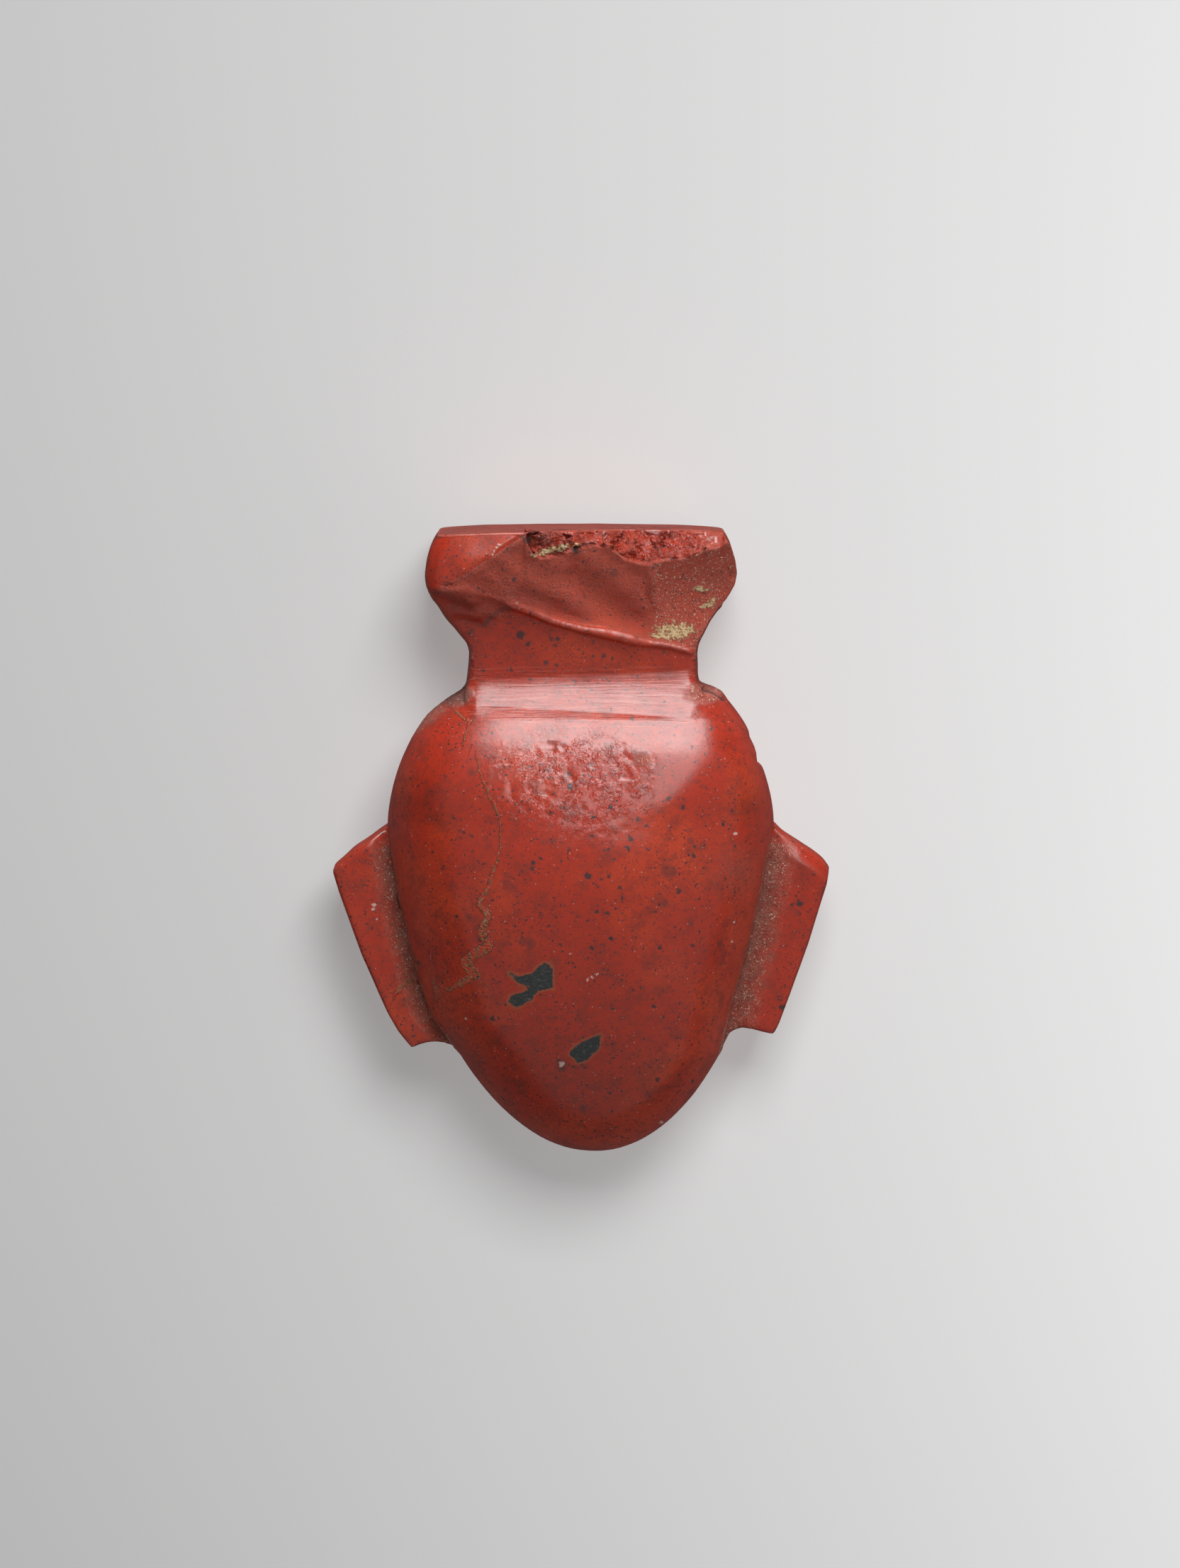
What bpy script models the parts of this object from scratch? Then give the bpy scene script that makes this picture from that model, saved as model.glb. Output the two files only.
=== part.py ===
"""A heart amulet carved from one piece of red jasper, lying on its back.

The body is an egg with its point down. A ledge and a narrow waist carry a broad rim, and a flat
lug stands out on each side. The front of the rim is broken away in two shell-shaped scars and a
crushed top edge. A small flat spot is ground on the back, so that the amulet lies still.

Metres. The front faces +Z, the rim is towards +Y, and +X is on the right as seen from the front.
"""
import math

import bmesh
import bpy
from mathutils import Matrix, Vector

# Body, seen from the front, with its widest line at height zero
BODY_HALF_WIDTH = 0.0155
BODY_BELOW_WIDEST = 0.0265
LEDGE_HEIGHT = 0.0099
EGG_CLOSE_ABOVE_LEDGE = 0.00585
LOWER_FULLNESS = 1.7
UPPER_FULLNESS = 1.8
TIP_LEAN = 0.00105

# Body, seen from the side, with depths measured from the plane of its widest outline
DOME_FRONT = 0.0110
DOME_BACK = 0.0085
DOME_TOP_BELOW_WIDEST = 0.0045
DOME_EDGE_BELOW_LEDGE = 0.0014
FRONT_CLOSE_ABOVE_EDGE = 0.0030
BACK_CLOSE_ABOVE_LEDGE = 0.0041
DOME_FALL_FULLNESS = 1.8

# Ledge between the body and the neck
SHELF_WIDTH = 0.0006
RAMP_RUN = 0.0026
LEDGE_STEP = 0.0006
LEDGE_TILT = 0.0004
LEDGE_TILT_SPREAD = 0.0018

# Neck and rim
WAIST_ABOVE_LEDGE = 0.0031
RIM_WIDEST_ABOVE_WAIST = 0.0073
TOP_ABOVE_RIM_WIDEST = 0.0032
WAIST_HALF_WIDTH = 0.0092
RIM_HALF_WIDTH = 0.0124
RIM_SHOULDER = 0.0010
RIM_SHOULDER_CURVE = 2.5
WAIST_FRONT = 0.0039
RIM_FRONT = 0.0065
RIM_FRONT_SHOULDER = 0.0005
WAIST_BACK = 0.0042
RIM_BACK = 0.0060

# How square each cross-section is: 2 is an ellipse, and more is boxier
DOME_SQUARENESS = 2.4
SHOULDER_SQUARENESS = 3.2
BACK_SQUARENESS = 2.6
WAIST_SQUARENESS = 7.0
RIM_SQUARENESS = 4.5

# Main scar, a shell-shaped hollow that slants down across the front of the rim
MAIN_SCAR_FROM_MIDDLE = 0.0006
MAIN_SCAR_BELOW_TOP = 0.0054
MAIN_SCAR_DEPTH = 0.0041
MAIN_SCAR_HALF_LENGTH = 0.0133
MAIN_SCAR_HALF_WIDTH = 0.0046
MAIN_SCAR_TURN = math.radians(-12.0)

# Side scar, a rounder hollow near the rim's right side
SIDE_SCAR_FROM_RIM_SIDE = 0.0034
SIDE_SCAR_BELOW_TOP = 0.0060
SIDE_SCAR_DEPTH = 0.0038
SIDE_SCAR_HALF_LENGTH = 0.0072
SIDE_SCAR_HALF_WIDTH = 0.0048
SIDE_SCAR_TURN = math.radians(70.0)

# Both scars widen towards the front as if cut by a round tool of this radius
SCAR_SWELL = 0.0080

# Crushed top edge, a rough slope back from the scars to the top
CRUSH_LEFT_OF_MIDDLE = 0.0042
CRUSH_SETBACK = 0.0030
CRUSH_TURN = math.radians(42.0)
CRUSH_END_TURN = math.radians(35.0)

# Lugs, each a flat tongue on the body's side
LUG_TOP_BELOW_WIDEST = 0.0001
LUG_TIP_DROP = 0.0036
LUG_TIP_REACH = 0.0044
LEFT_FOOT_ABOVE_TIP = 0.0086
RIGHT_FOOT_ABOVE_TIP = 0.0102
LUG_FOOT_REACH = 0.0033
LUG_FOOT_ARCH = 0.0005
LUG_BULGE = 0.0009
LUG_FRONT = 0.0021
LUG_BACK = 0.0027
LUG_VALLEY_DEPTH = 0.0010
LUG_VALLEY_WIDTH = 0.0020
LUG_EDGE_ROUND = 0.00045
LUG_ROOT = 0.0030

# Flat spot ground on the back
FLAT_SPOT_DEPTH = 0.0005

# Fineness of the surface
POINTS_ON_FRONT = 40
POINTS_ON_BACK = 24
RINGS_BELOW_WIDEST = 18
RINGS_ABOVE_WIDEST = 7
RINGS_ON_LEDGE = 8
RINGS_ON_NECK = 14
RINGS_ON_TOP = 3
LUG_CELLS_ACROSS = 7
LUG_CELLS_ALONG = 11
LUG_EDGE_STEPS = 2
SCAR_SUBDIVISIONS = 4
CREASE_ANGLE = math.radians(38.0)
WELD = 1e-6

# Stone, as it shows
JASPER_RED = (0.245, 0.042, 0.026, 1.0)
JASPER_ROUGHNESS = 0.38
JASPER_METALLIC = 0.0

# Heights that follow from the ones above
DOME_EDGE_HEIGHT = LEDGE_HEIGHT - DOME_EDGE_BELOW_LEDGE
WAIST_HEIGHT = LEDGE_HEIGHT + WAIST_ABOVE_LEDGE
RIM_WIDEST_HEIGHT = WAIST_HEIGHT + RIM_WIDEST_ABOVE_WAIST
TOP_HEIGHT = RIM_WIDEST_HEIGHT + TOP_ABOVE_RIM_WIDEST


def clear_scene():
    for item in list(bpy.data.objects):
        bpy.data.objects.remove(item, do_unlink=True)


def jasper():
    """The red stone, with the polish that is left on it."""
    stone = bpy.data.materials.new("red_jasper")
    stone.use_nodes = True
    shader = stone.node_tree.nodes["Principled BSDF"]
    shader.inputs["Base Color"].default_value = JASPER_RED
    shader.inputs["Roughness"].default_value = JASPER_ROUGHNESS
    shader.inputs["Metallic"].default_value = JASPER_METALLIC
    return stone


def ease(start, end, at):
    """0 before start and 1 after end, with a smooth change between them."""
    share = min(max((at - start) / (end - start), 0.0), 1.0)
    return share * share * (3.0 - 2.0 * share)


def mix(low, high, share):
    return low + (high - low) * share


def past_rim(height):
    """0 up to the rim's widest line, growing to 1 at the top."""
    return max(height - RIM_WIDEST_HEIGHT, 0.0) / TOP_ABOVE_RIM_WIDEST


def egg_half_width(height):
    """The egg's outline, which closes at the tip below and would close above the ledge."""
    if height < 0.0:
        share = min(-height / BODY_BELOW_WIDEST, 1.0)
        return BODY_HALF_WIDTH * math.sqrt(1.0 - share ** LOWER_FULLNESS)
    share = min(height / (LEDGE_HEIGHT + EGG_CLOSE_ABOVE_LEDGE), 1.0)
    return BODY_HALF_WIDTH * math.sqrt(1.0 - share ** UPPER_FULLNESS)


def neck_half_width(height):
    """The waist swells into the rim, whose upper edge is rounded off."""
    swell = ease(WAIST_HEIGHT, RIM_WIDEST_HEIGHT, height)
    width = mix(WAIST_HALF_WIDTH, RIM_HALF_WIDTH, swell)
    return width - RIM_SHOULDER * past_rim(height) ** RIM_SHOULDER_CURVE


def on_neck(height):
    """0 on the body and 1 on the neck, changing at the ledge."""
    return ease(LEDGE_HEIGHT, LEDGE_HEIGHT + LEDGE_STEP, height)


def half_width(height):
    return mix(egg_half_width(height), neck_half_width(height), on_neck(height))


def dome_depth(height, depth, close_height):
    """A dome's side view, deepest a little below the widest line and closing at the tip."""
    above = height + DOME_TOP_BELOW_WIDEST
    if above < 0.0:
        share = min(-above / (BODY_BELOW_WIDEST - DOME_TOP_BELOW_WIDEST), 1.0)
        return depth * math.sqrt(1.0 - share ** DOME_FALL_FULLNESS)
    share = min(above / (close_height + DOME_TOP_BELOW_WIDEST), 1.0)
    return depth * math.sqrt(1.0 - share * share)


def front_depth(height):
    """The dome ends at a narrow shelf, and a ramp leads from the shelf down to the waist."""
    close_height = DOME_EDGE_HEIGHT + FRONT_CLOSE_ABOVE_EDGE
    body = dome_depth(min(height, DOME_EDGE_HEIGHT), DOME_FRONT, close_height)
    down = (height - DOME_EDGE_HEIGHT - SHELF_WIDTH) / RAMP_RUN
    if down <= 0.0:
        return body
    ramp = mix(body, WAIST_FRONT, min(down, 1.0))
    neck = mix(WAIST_FRONT, RIM_FRONT, ease(WAIST_HEIGHT, RIM_WIDEST_HEIGHT, height))
    return max(ramp, neck - RIM_FRONT_SHOULDER * past_rim(height) ** 2)


def back_depth(height):
    body = dome_depth(height, DOME_BACK, LEDGE_HEIGHT + BACK_CLOSE_ABOVE_LEDGE)
    neck = mix(WAIST_BACK, RIM_BACK, ease(WAIST_HEIGHT, RIM_WIDEST_HEIGHT, height))
    return mix(body, neck, ease(DOME_EDGE_HEIGHT, WAIST_HEIGHT, height))


def squareness(height, on_front):
    """The body is rounded, the waist nearly a rectangle, and the rim in between."""
    body = mix(DOME_SQUARENESS, SHOULDER_SQUARENESS, ease(0.0, DOME_EDGE_HEIGHT, height))
    if not on_front:
        body = BACK_SQUARENESS
    neck = mix(WAIST_SQUARENESS, RIM_SQUARENESS, ease(WAIST_HEIGHT, RIM_WIDEST_HEIGHT, height))
    return mix(body, neck, on_neck(height))


def lean(height):
    """The lower body drifts to the right towards its tip."""
    return TIP_LEAN * max(-height, 0.0) / BODY_BELOW_WIDEST


def ring_point(column, height):
    """One corner of the ring at a height, counted from the right side and round by the front."""
    on_front = column <= POINTS_ON_FRONT
    if on_front:
        angle = math.pi * column / POINTS_ON_FRONT
    else:
        angle = math.pi * (column - POINTS_ON_FRONT) / POINTS_ON_BACK + math.pi
    side = math.cos(angle)
    power = squareness(height, on_front)
    reach = max(1.0 - abs(side) ** power, 0.0) ** (1.0 / power)
    across = lean(height) + half_width(height) * side
    out = front_depth(height) * reach if on_front else -back_depth(height) * reach
    off_ledge = (height - LEDGE_HEIGHT) / LEDGE_TILT_SPREAD
    tilt = LEDGE_TILT * side ** 3 * math.exp(-off_ledge * off_ledge)
    return across, height + tilt, out


def ring_heights():
    """Heights of the rings from the tip to the top, closer together where the form turns fast."""
    ledge_end = max(DOME_EDGE_HEIGHT + SHELF_WIDTH + RAMP_RUN, LEDGE_HEIGHT + LEDGE_STEP)
    heights = []
    for step in range(RINGS_BELOW_WIDEST):
        quarter = 0.5 * math.pi * step / RINGS_BELOW_WIDEST
        heights.append(-BODY_BELOW_WIDEST * math.cos(quarter))
    for low, high, rings in ((0.0, DOME_EDGE_HEIGHT, RINGS_ABOVE_WIDEST),
                             (DOME_EDGE_HEIGHT, ledge_end, RINGS_ON_LEDGE),
                             (ledge_end, TOP_HEIGHT, RINGS_ON_NECK)):
        for step in range(rings):
            heights.append(mix(low, high, step / rings))
    heights.append(TOP_HEIGHT)
    return heights


def bent_grid(across, along, place):
    """A grid whose corners are moved to where place puts them, and welded where they meet."""
    shape = bmesh.new()
    bmesh.ops.create_grid(shape, x_segments=across, y_segments=along, size=0.5)
    for corner in shape.verts:
        column = round((corner.co.x + 0.5) * across)
        row = round((corner.co.y + 0.5) * along)
        corner.co = place(column, row)
    bmesh.ops.remove_doubles(shape, verts=shape.verts, dist=WELD)
    bmesh.ops.recalc_face_normals(shape, faces=shape.faces)
    return shape


def body_shape():
    """Body, ledge, neck and rim: rings from the tip upwards, closed by a flat top."""
    heights = ring_heights()
    top_row = len(heights) - 1
    points_round = POINTS_ON_FRONT + POINTS_ON_BACK

    def place(column, row):
        across, height, out = ring_point(column % points_round, heights[min(row, top_row)])
        share = 1.0 - max(row - top_row, 0) / RINGS_ON_TOP
        return across * share, height, out * share

    return bent_grid(points_round, top_row + RINGS_ON_TOP, place)


def lug_shape(side, foot_above_tip):
    """One lug: a curved sheet between the body's side and its outer edge, drawn out to a slab."""
    top = -LUG_TOP_BELOW_WIDEST
    tip_height = top - LUG_TIP_DROP
    foot_height = foot_above_tip - BODY_BELOW_WIDEST
    tip = egg_half_width(top) + LUG_TIP_REACH
    foot = egg_half_width(foot_height) + LUG_FOOT_REACH + side * lean(foot_height)

    def outline(column, row):
        out = 1.0 - column / LUG_CELLS_ACROSS
        down = row / LUG_CELLS_ALONG
        root_height = mix(top + LUG_ROOT, foot_height, down)
        edge = mix(tip, foot, down) + LUG_BULGE * math.sin(math.pi * down)
        across = mix(egg_half_width(root_height) - LUG_ROOT, edge, out)
        arch = LUG_FOOT_ARCH * down * math.sin(math.pi * out)
        height = mix(root_height, mix(tip_height, foot_height, down), out) + arch
        from_body = max(across - egg_half_width(height), 0.0)
        valley = LUG_VALLEY_DEPTH * (1.0 - ease(0.0, LUG_VALLEY_WIDTH, from_body))
        return side * across, height, LUG_FRONT - valley

    shape = bent_grid(LUG_CELLS_ACROSS, LUG_CELLS_ALONG, outline)
    drawn = bmesh.ops.extrude_face_region(shape, geom=shape.faces)
    for item in drawn["geom"]:
        if isinstance(item, bmesh.types.BMVert):
            item.co.z = -LUG_BACK
    bmesh.ops.recalc_face_normals(shape, faces=shape.faces)
    arrises = [edge for edge in shape.edges if edge.calc_face_angle(0.0) > CREASE_ANGLE]
    bmesh.ops.bevel(shape, geom=arrises, offset=LUG_EDGE_ROUND, affect="EDGES",
                    segments=LUG_EDGE_STEPS, profile=0.5, material=-1)
    return shape


def scar_shape(across, height, depth, half_length, half_width, turn):
    """The stone lost in one scar: a long rounded lens, deepest at its middle."""
    shape = bmesh.new()
    bmesh.ops.create_icosphere(shape, subdivisions=SCAR_SUBDIVISIONS, radius=1.0)
    bmesh.ops.scale(shape, vec=(half_length, half_width, SCAR_SWELL), verts=shape.verts)
    bmesh.ops.rotate(shape, cent=(0.0, 0.0, 0.0), matrix=Matrix.Rotation(turn, 3, "Z"),
                     verts=shape.verts)
    middle = Vector((across, height, RIM_FRONT - depth + SCAR_SWELL))
    bmesh.ops.translate(shape, vec=middle, verts=shape.verts)
    return shape


def crush_shape():
    """The stone lost from the top edge: a block whose underside slopes back to the top."""
    shape = bmesh.new()
    bmesh.ops.create_cube(shape, size=1.0)
    length = 2.0 * (RIM_HALF_WIDTH + CRUSH_LEFT_OF_MIDDLE)
    bmesh.ops.scale(shape, vec=(length, length, length), verts=shape.verts)
    bmesh.ops.translate(shape, vec=(length / 2.0, 0.0, length / 2.0), verts=shape.verts)
    lean_end = [corner for corner in shape.verts if corner.co.x < WELD and corner.co.z > WELD]
    bmesh.ops.translate(shape, vec=(-length * math.tan(CRUSH_END_TURN), 0.0, 0.0),
                        verts=lean_end)
    turn = Matrix.Rotation(-CRUSH_TURN, 3, "X")
    bmesh.ops.rotate(shape, cent=(0.0, 0.0, 0.0), matrix=turn, verts=shape.verts)
    edge = Vector((-CRUSH_LEFT_OF_MIDDLE, TOP_HEIGHT,
                   RIM_FRONT - RIM_FRONT_SHOULDER - CRUSH_SETBACK))
    bmesh.ops.translate(shape, vec=edge, verts=shape.verts)
    return shape


def new_object(name, shape, stone):
    bmesh.ops.triangulate(shape, faces=shape.faces)
    mesh = bpy.data.meshes.new(name)
    shape.to_mesh(mesh)
    shape.free()
    mesh.materials.append(stone)
    item = bpy.data.objects.new(name, mesh)
    bpy.context.scene.collection.objects.link(item)
    return item


def carve(body, operation, name, shape, stone):
    """Add a shape to the body or take it away, leaving one closed surface."""
    tool = new_object(name, shape, stone)
    tool.hide_render = True
    tool.display_type = "WIRE"
    step = body.modifiers.new(name, "BOOLEAN")
    step.operation = operation
    step.solver = "EXACT"
    step.object = tool
    depsgraph = bpy.context.evaluated_depsgraph_get()
    carved = bpy.data.meshes.new_from_object(body.evaluated_get(depsgraph))
    body.modifiers.clear()
    body.data = carved
    bpy.data.objects.remove(tool, do_unlink=True)


def grind_flat_spot(body):
    """Cut the back's lowest part off flat."""
    shape = bmesh.new()
    shape.from_mesh(body.data)
    floor = min(corner.co.z for corner in shape.verts) + FLAT_SPOT_DEPTH
    everything = shape.verts[:] + shape.edges[:] + shape.faces[:]
    cut = bmesh.ops.bisect_plane(shape, geom=everything, plane_co=(0.0, 0.0, floor),
                                 plane_no=(0.0, 0.0, 1.0), clear_inner=True)
    outline = [item for item in cut["geom_cut"] if isinstance(item, bmesh.types.BMEdge)]
    bmesh.ops.contextual_create(shape, geom=outline)
    bmesh.ops.remove_doubles(shape, verts=shape.verts, dist=WELD)
    bmesh.ops.recalc_face_normals(shape, faces=shape.faces)
    shape.to_mesh(body.data)
    shape.free()


def set_on_floor(body):
    """Move the mesh so that the middle of its underside is the origin."""
    corners = [corner.co.copy() for corner in body.data.vertices]
    low = [min(corner[axis] for corner in corners) for axis in range(3)]
    high = [max(corner[axis] for corner in corners) for axis in range(3)]
    shift = Vector(((low[0] + high[0]) / 2.0, (low[1] + high[1]) / 2.0, low[2]))
    body.data.transform(Matrix.Translation(-shift))


def main():
    clear_scene()
    stone = jasper()
    amulet = new_object("heart_amulet", body_shape(), stone)
    carve(amulet, "UNION", "left_lug", lug_shape(-1.0, LEFT_FOOT_ABOVE_TIP), stone)
    carve(amulet, "UNION", "right_lug", lug_shape(1.0, RIGHT_FOOT_ABOVE_TIP), stone)
    main_scar = scar_shape(MAIN_SCAR_FROM_MIDDLE, TOP_HEIGHT - MAIN_SCAR_BELOW_TOP,
                           MAIN_SCAR_DEPTH, MAIN_SCAR_HALF_LENGTH, MAIN_SCAR_HALF_WIDTH,
                           MAIN_SCAR_TURN)
    side_scar = scar_shape(RIM_HALF_WIDTH - SIDE_SCAR_FROM_RIM_SIDE,
                           TOP_HEIGHT - SIDE_SCAR_BELOW_TOP, SIDE_SCAR_DEPTH,
                           SIDE_SCAR_HALF_LENGTH, SIDE_SCAR_HALF_WIDTH, SIDE_SCAR_TURN)
    carve(amulet, "DIFFERENCE", "main_scar", main_scar, stone)
    carve(amulet, "DIFFERENCE", "side_scar", side_scar, stone)
    carve(amulet, "DIFFERENCE", "crushed_edge", crush_shape(), stone)
    grind_flat_spot(amulet)
    set_on_floor(amulet)
    amulet.data.shade_smooth()
    amulet.data.set_sharp_from_angle(angle=CREASE_ANGLE)


main()
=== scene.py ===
"""A broken and worn heart amulet of red jasper, lying on a pale floor.

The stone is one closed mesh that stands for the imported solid. It has the same form, with the
two shell-shaped scars, the crushed top edge, the lugs' hollows and the pits of the real surface.
Shapes are worked out in millimetres and written in metres. The front faces +Z, the rim is
towards +Y, and depths are measured from the plane of the widest outline, up from the floor.
"""
import math

import bmesh
import bpy
import numpy as np
from mathutils import Matrix, Vector, noise


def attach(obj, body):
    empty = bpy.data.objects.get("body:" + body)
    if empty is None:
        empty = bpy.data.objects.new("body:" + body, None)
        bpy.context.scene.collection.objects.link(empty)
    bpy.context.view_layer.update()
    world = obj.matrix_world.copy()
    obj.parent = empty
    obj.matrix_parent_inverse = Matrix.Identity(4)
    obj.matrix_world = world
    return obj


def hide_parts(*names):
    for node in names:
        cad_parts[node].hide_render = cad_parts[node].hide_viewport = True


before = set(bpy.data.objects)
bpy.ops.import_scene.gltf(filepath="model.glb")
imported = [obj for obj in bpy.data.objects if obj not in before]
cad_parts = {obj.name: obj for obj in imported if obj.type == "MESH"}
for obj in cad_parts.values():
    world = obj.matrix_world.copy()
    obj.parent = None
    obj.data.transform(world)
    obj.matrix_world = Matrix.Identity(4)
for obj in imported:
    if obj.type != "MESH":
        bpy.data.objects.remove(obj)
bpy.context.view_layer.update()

MM = 0.001
PARTING = 8.0

# Where the photograph shows things: its scale, the pixel of the amulet's middle, and its tilt,
# and the camera's lens and sensor in millimetres, and how far it sees in metres
MM_PER_PIXEL = 0.05701
MIDDLE_PIXEL = (819.5, 1188.5)
FRAME_PIXELS = (1665, 2212)
VIEW_TILT = math.radians(5.7)
LENS = 150.0
SENSOR = 36.0
FAR_CLIP = 10.0

# Egg-shaped body
WIDEST = 1.5
TIP = -25.0
EGG_HALF_WIDTH = 15.5
EGG_RISE = 15.75
LOWER_FULLNESS = 1.7
UPPER_FULLNESS = 1.8
TIP_LEAN = 1.05
DOME_FRONT = 11.0
DOME_BACK = 8.5
DOME_TOP = -3.0
DOME_EDGE = 10.5
DOME_CLOSE = 3.1
BACK_CLOSE = 15.5
DOME_FALL = 1.8

# Outline of each side where it leaves the egg: height and distance from the middle
LEFT_FLANK = ((-16.7, 10.07), (-15.8, 10.7), (-14.9, 11.3), (-13.8, 12.1), (-10.9, 13.1),
              (-7.5, 13.95), (-4.6, 14.6), (-1.8, 15.1), (0.5, 15.4), (1.5, 15.5))
RIGHT_FLANK = ((-16.4, 11.45), (-14.6, 11.85), (-13.5, 12.1), (-11.7, 12.55), (-9.9, 13.05),
               (-8.0, 13.55), (-5.8, 14.1), (-3.0, 14.65), (-0.3, 15.2), (1.5, 15.5))
LEFT_NECK = ((8.8, 13.4), (9.5, 12.9), (10.2, 12.4), (10.8, 11.8), (11.3, 11.1), (11.75, 10.5),
             (12.1, 9.75), (12.4, 9.4), (12.9, 9.2), (13.6, 9.1), (14.5, 9.0), (15.4, 8.95),
             (16.3, 9.2), (17.2, 9.95), (18.2, 10.8), (19.1, 11.45), (20.0, 11.95), (20.9, 12.3),
             (21.8, 12.4), (23.0, 12.25), (24.0, 12.0), (24.7, 11.6), (25.0, 11.3))
RIGHT_NECK = ((8.8, 13.6), (9.5, 13.25), (10.2, 12.8), (10.9, 12.3), (11.5, 11.8), (12.1, 11.4),
              (12.45, 10.9), (12.65, 9.9), (12.9, 9.55), (13.6, 9.4), (14.5, 9.4), (15.4, 9.35),
              (16.3, 9.5), (17.2, 9.9), (18.2, 10.4), (19.0, 10.95), (19.4, 11.35), (20.0, 11.8),
              (20.9, 12.3), (21.8, 12.48), (23.0, 12.3), (24.0, 12.0), (24.7, 11.65), (25.0, 11.4))
OUTLINE_BLEND = 0.16
TIP_KEPT = 2.0

# Ledge, ramp and waist: the wall under the ramp dies out towards the right
FRONT_HALF_SPAN = 9.0
WALL_TOP = (11.6, 10.65)
RAMP_FOOT = (5.15, 6.1)
SHOULDER_SLOPE = (1.2, 0.58)
SHOULDER_START = 8.4
SHOULDER_END = 9.05
SHOULDER_CLOSE = (12.2, 12.8)
NECK_FOOT = 12.75
RAMP_TOP = (13.5, 14.4)
RAMP_SOFTNESS = 0.27
WAIST = 14.5
RIM_WIDEST = 21.8
FLARE = (15.4, 20.75)
FLARE_CURVE = 2.4
BOX_EARLY = 0.2
TOP = 25.0
TOP_CROWN = 0.32
CROWN_START = 16.0
CROWN_HALF_WIDTH = 12.0
WAIST_FRONT = 4.0
RIM_FRONT = 6.5
RIM_FRONT_SHOULDER = 0.65
WAIST_BACK = 4.2
RIM_BACK = 6.0
BACK_NECK = (10.0, 14.5)
BACK_BOXING = (11.8, 15.0)
WAIST_TAPER = 0.03
TAPER_START = (12.0, 13.0)
ARRIS_ROUND = 0.16
ARRIS_INSET = 0.22

# How square each cross-section is: 2 is an ellipse, and more is boxier
DOME_SQUARENESS = 2.4
SHOULDER_SQUARENESS = 4.6
BACK_SQUARENESS = 2.6
WAIST_SQUARENESS = 20.0
RIM_SQUARENESS = 10.0

# Main scar: lower ridge, upper edge, the crushed edge's foot, and the line and depth of the
# hollow (across, value). A span gives where something starts, is full, fades and ends.
RIDGE = ((-10.6, 21.3), (-8.3, 20.35), (-6.1, 19.65), (-5.0, 19.3), (-3.6, 18.75), (-2.4, 18.2),
         (0.2, 17.45), (3.05, 16.85), (4.9, 16.4), (6.9, 16.2), (8.75, 15.7), (10.5, 15.4))
SCAR_TOP = ((-10.6, 21.3), (-7.0, 23.4), (-5.8, 24.3), (-4.4, 25.1), (12.5, 25.6))
SCAR_TOP_DEPTH = ((-4.4, 6.1), (-3.0, 5.6), (1.0, 4.9), (5.0, 4.4), (12.5, 3.9))
CRUSH_FOOT = ((-4.4, 25.0), (-4.1, 24.3), (-3.7, 23.5), (-3.2, 23.3), (-1.7, 23.4), (-0.8, 23.8),
              (0.2, 24.1), (1.3, 24.25), (2.7, 23.8), (3.45, 23.15), (5.16, 22.7), (6.1, 22.86),
              (6.9, 23.05), (8.6, 23.1), (9.7, 23.7), (11.3, 24.1), (12.4, 24.6))
HOLLOW_LINE = ((-10.6, 21.3), (-8.3, 20.35), (-6.1, 19.65), (-5.0, 19.5), (-2.4, 18.9), (0.0, 18.5),
               (3.0, 18.4), (5.5, 18.5), (8.0, 18.3), (10.0, 18.0))
HOLLOW_DEPTH = ((-10.6, 7.0), (-6.1, 5.6), (-5.0, 4.95), (-4.0, 4.5), (-2.0, 3.85), (1.0, 3.25),
                (4.0, 2.95), (5.5, 2.95), (9.0, 3.6))
RIDGE_POWER = 2.3
UPPER_POWER = 1.1
LEAST_HEIGHT = 0.3
SCAR_INSET = 0.5
UNTOUCHED = 99.0
SCOOP_DEPTH = 0.38
SCOOP_HEIGHT = 2.3
SCOOP_SPAN = (-11.6, -10.2, -6.8, -5.2)
SCAR_LOWEST = 14.8
CRUSH_SPAN = (-4.4, -4.0, 11.2, 11.9)
CRUSH_RAGGED = 0.10
RAGGED_START, RAGGED_FINENESS = 3.0, 2.2
RAGGED_NOISE = (0.6, 2.0, 3)
CRUSH_NOTICED = 0.05
CRUSH_TOP = ((-4.3, 7.9), (-3.5, 7.0), (-2.8, 5.8), (-2.2, 5.0), (-1.0, 4.3), (0.0, 3.8),
             (2.0, 2.7), (4.0, 2.0), (8.0, 1.6), (11.0, 0.9), (12.5, 0.0))
CRUSH_BEHIND = 0.3
CRUSH_INWARD = 0.985
CRUSH_CLIMB = 1.15
UPRIGHT = (0.5, 2.5)
CAP_MIDDLE = (0.0, TOP, -1.5)

# Side scar: a rounder bowl at the right, with how fast it bends to the left, right, up and down
BOWL_MIDDLE = (8.6, 19.6)
BOWL_DEPTH = 2.9
BOWL_START = 2.0
BOWL_BEND_LEFT, BOWL_BEND_RIGHT = 0.045, -0.06
BOWL_BEND_UP, BOWL_BEND_DOWN = 0.07, 0.10

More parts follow.
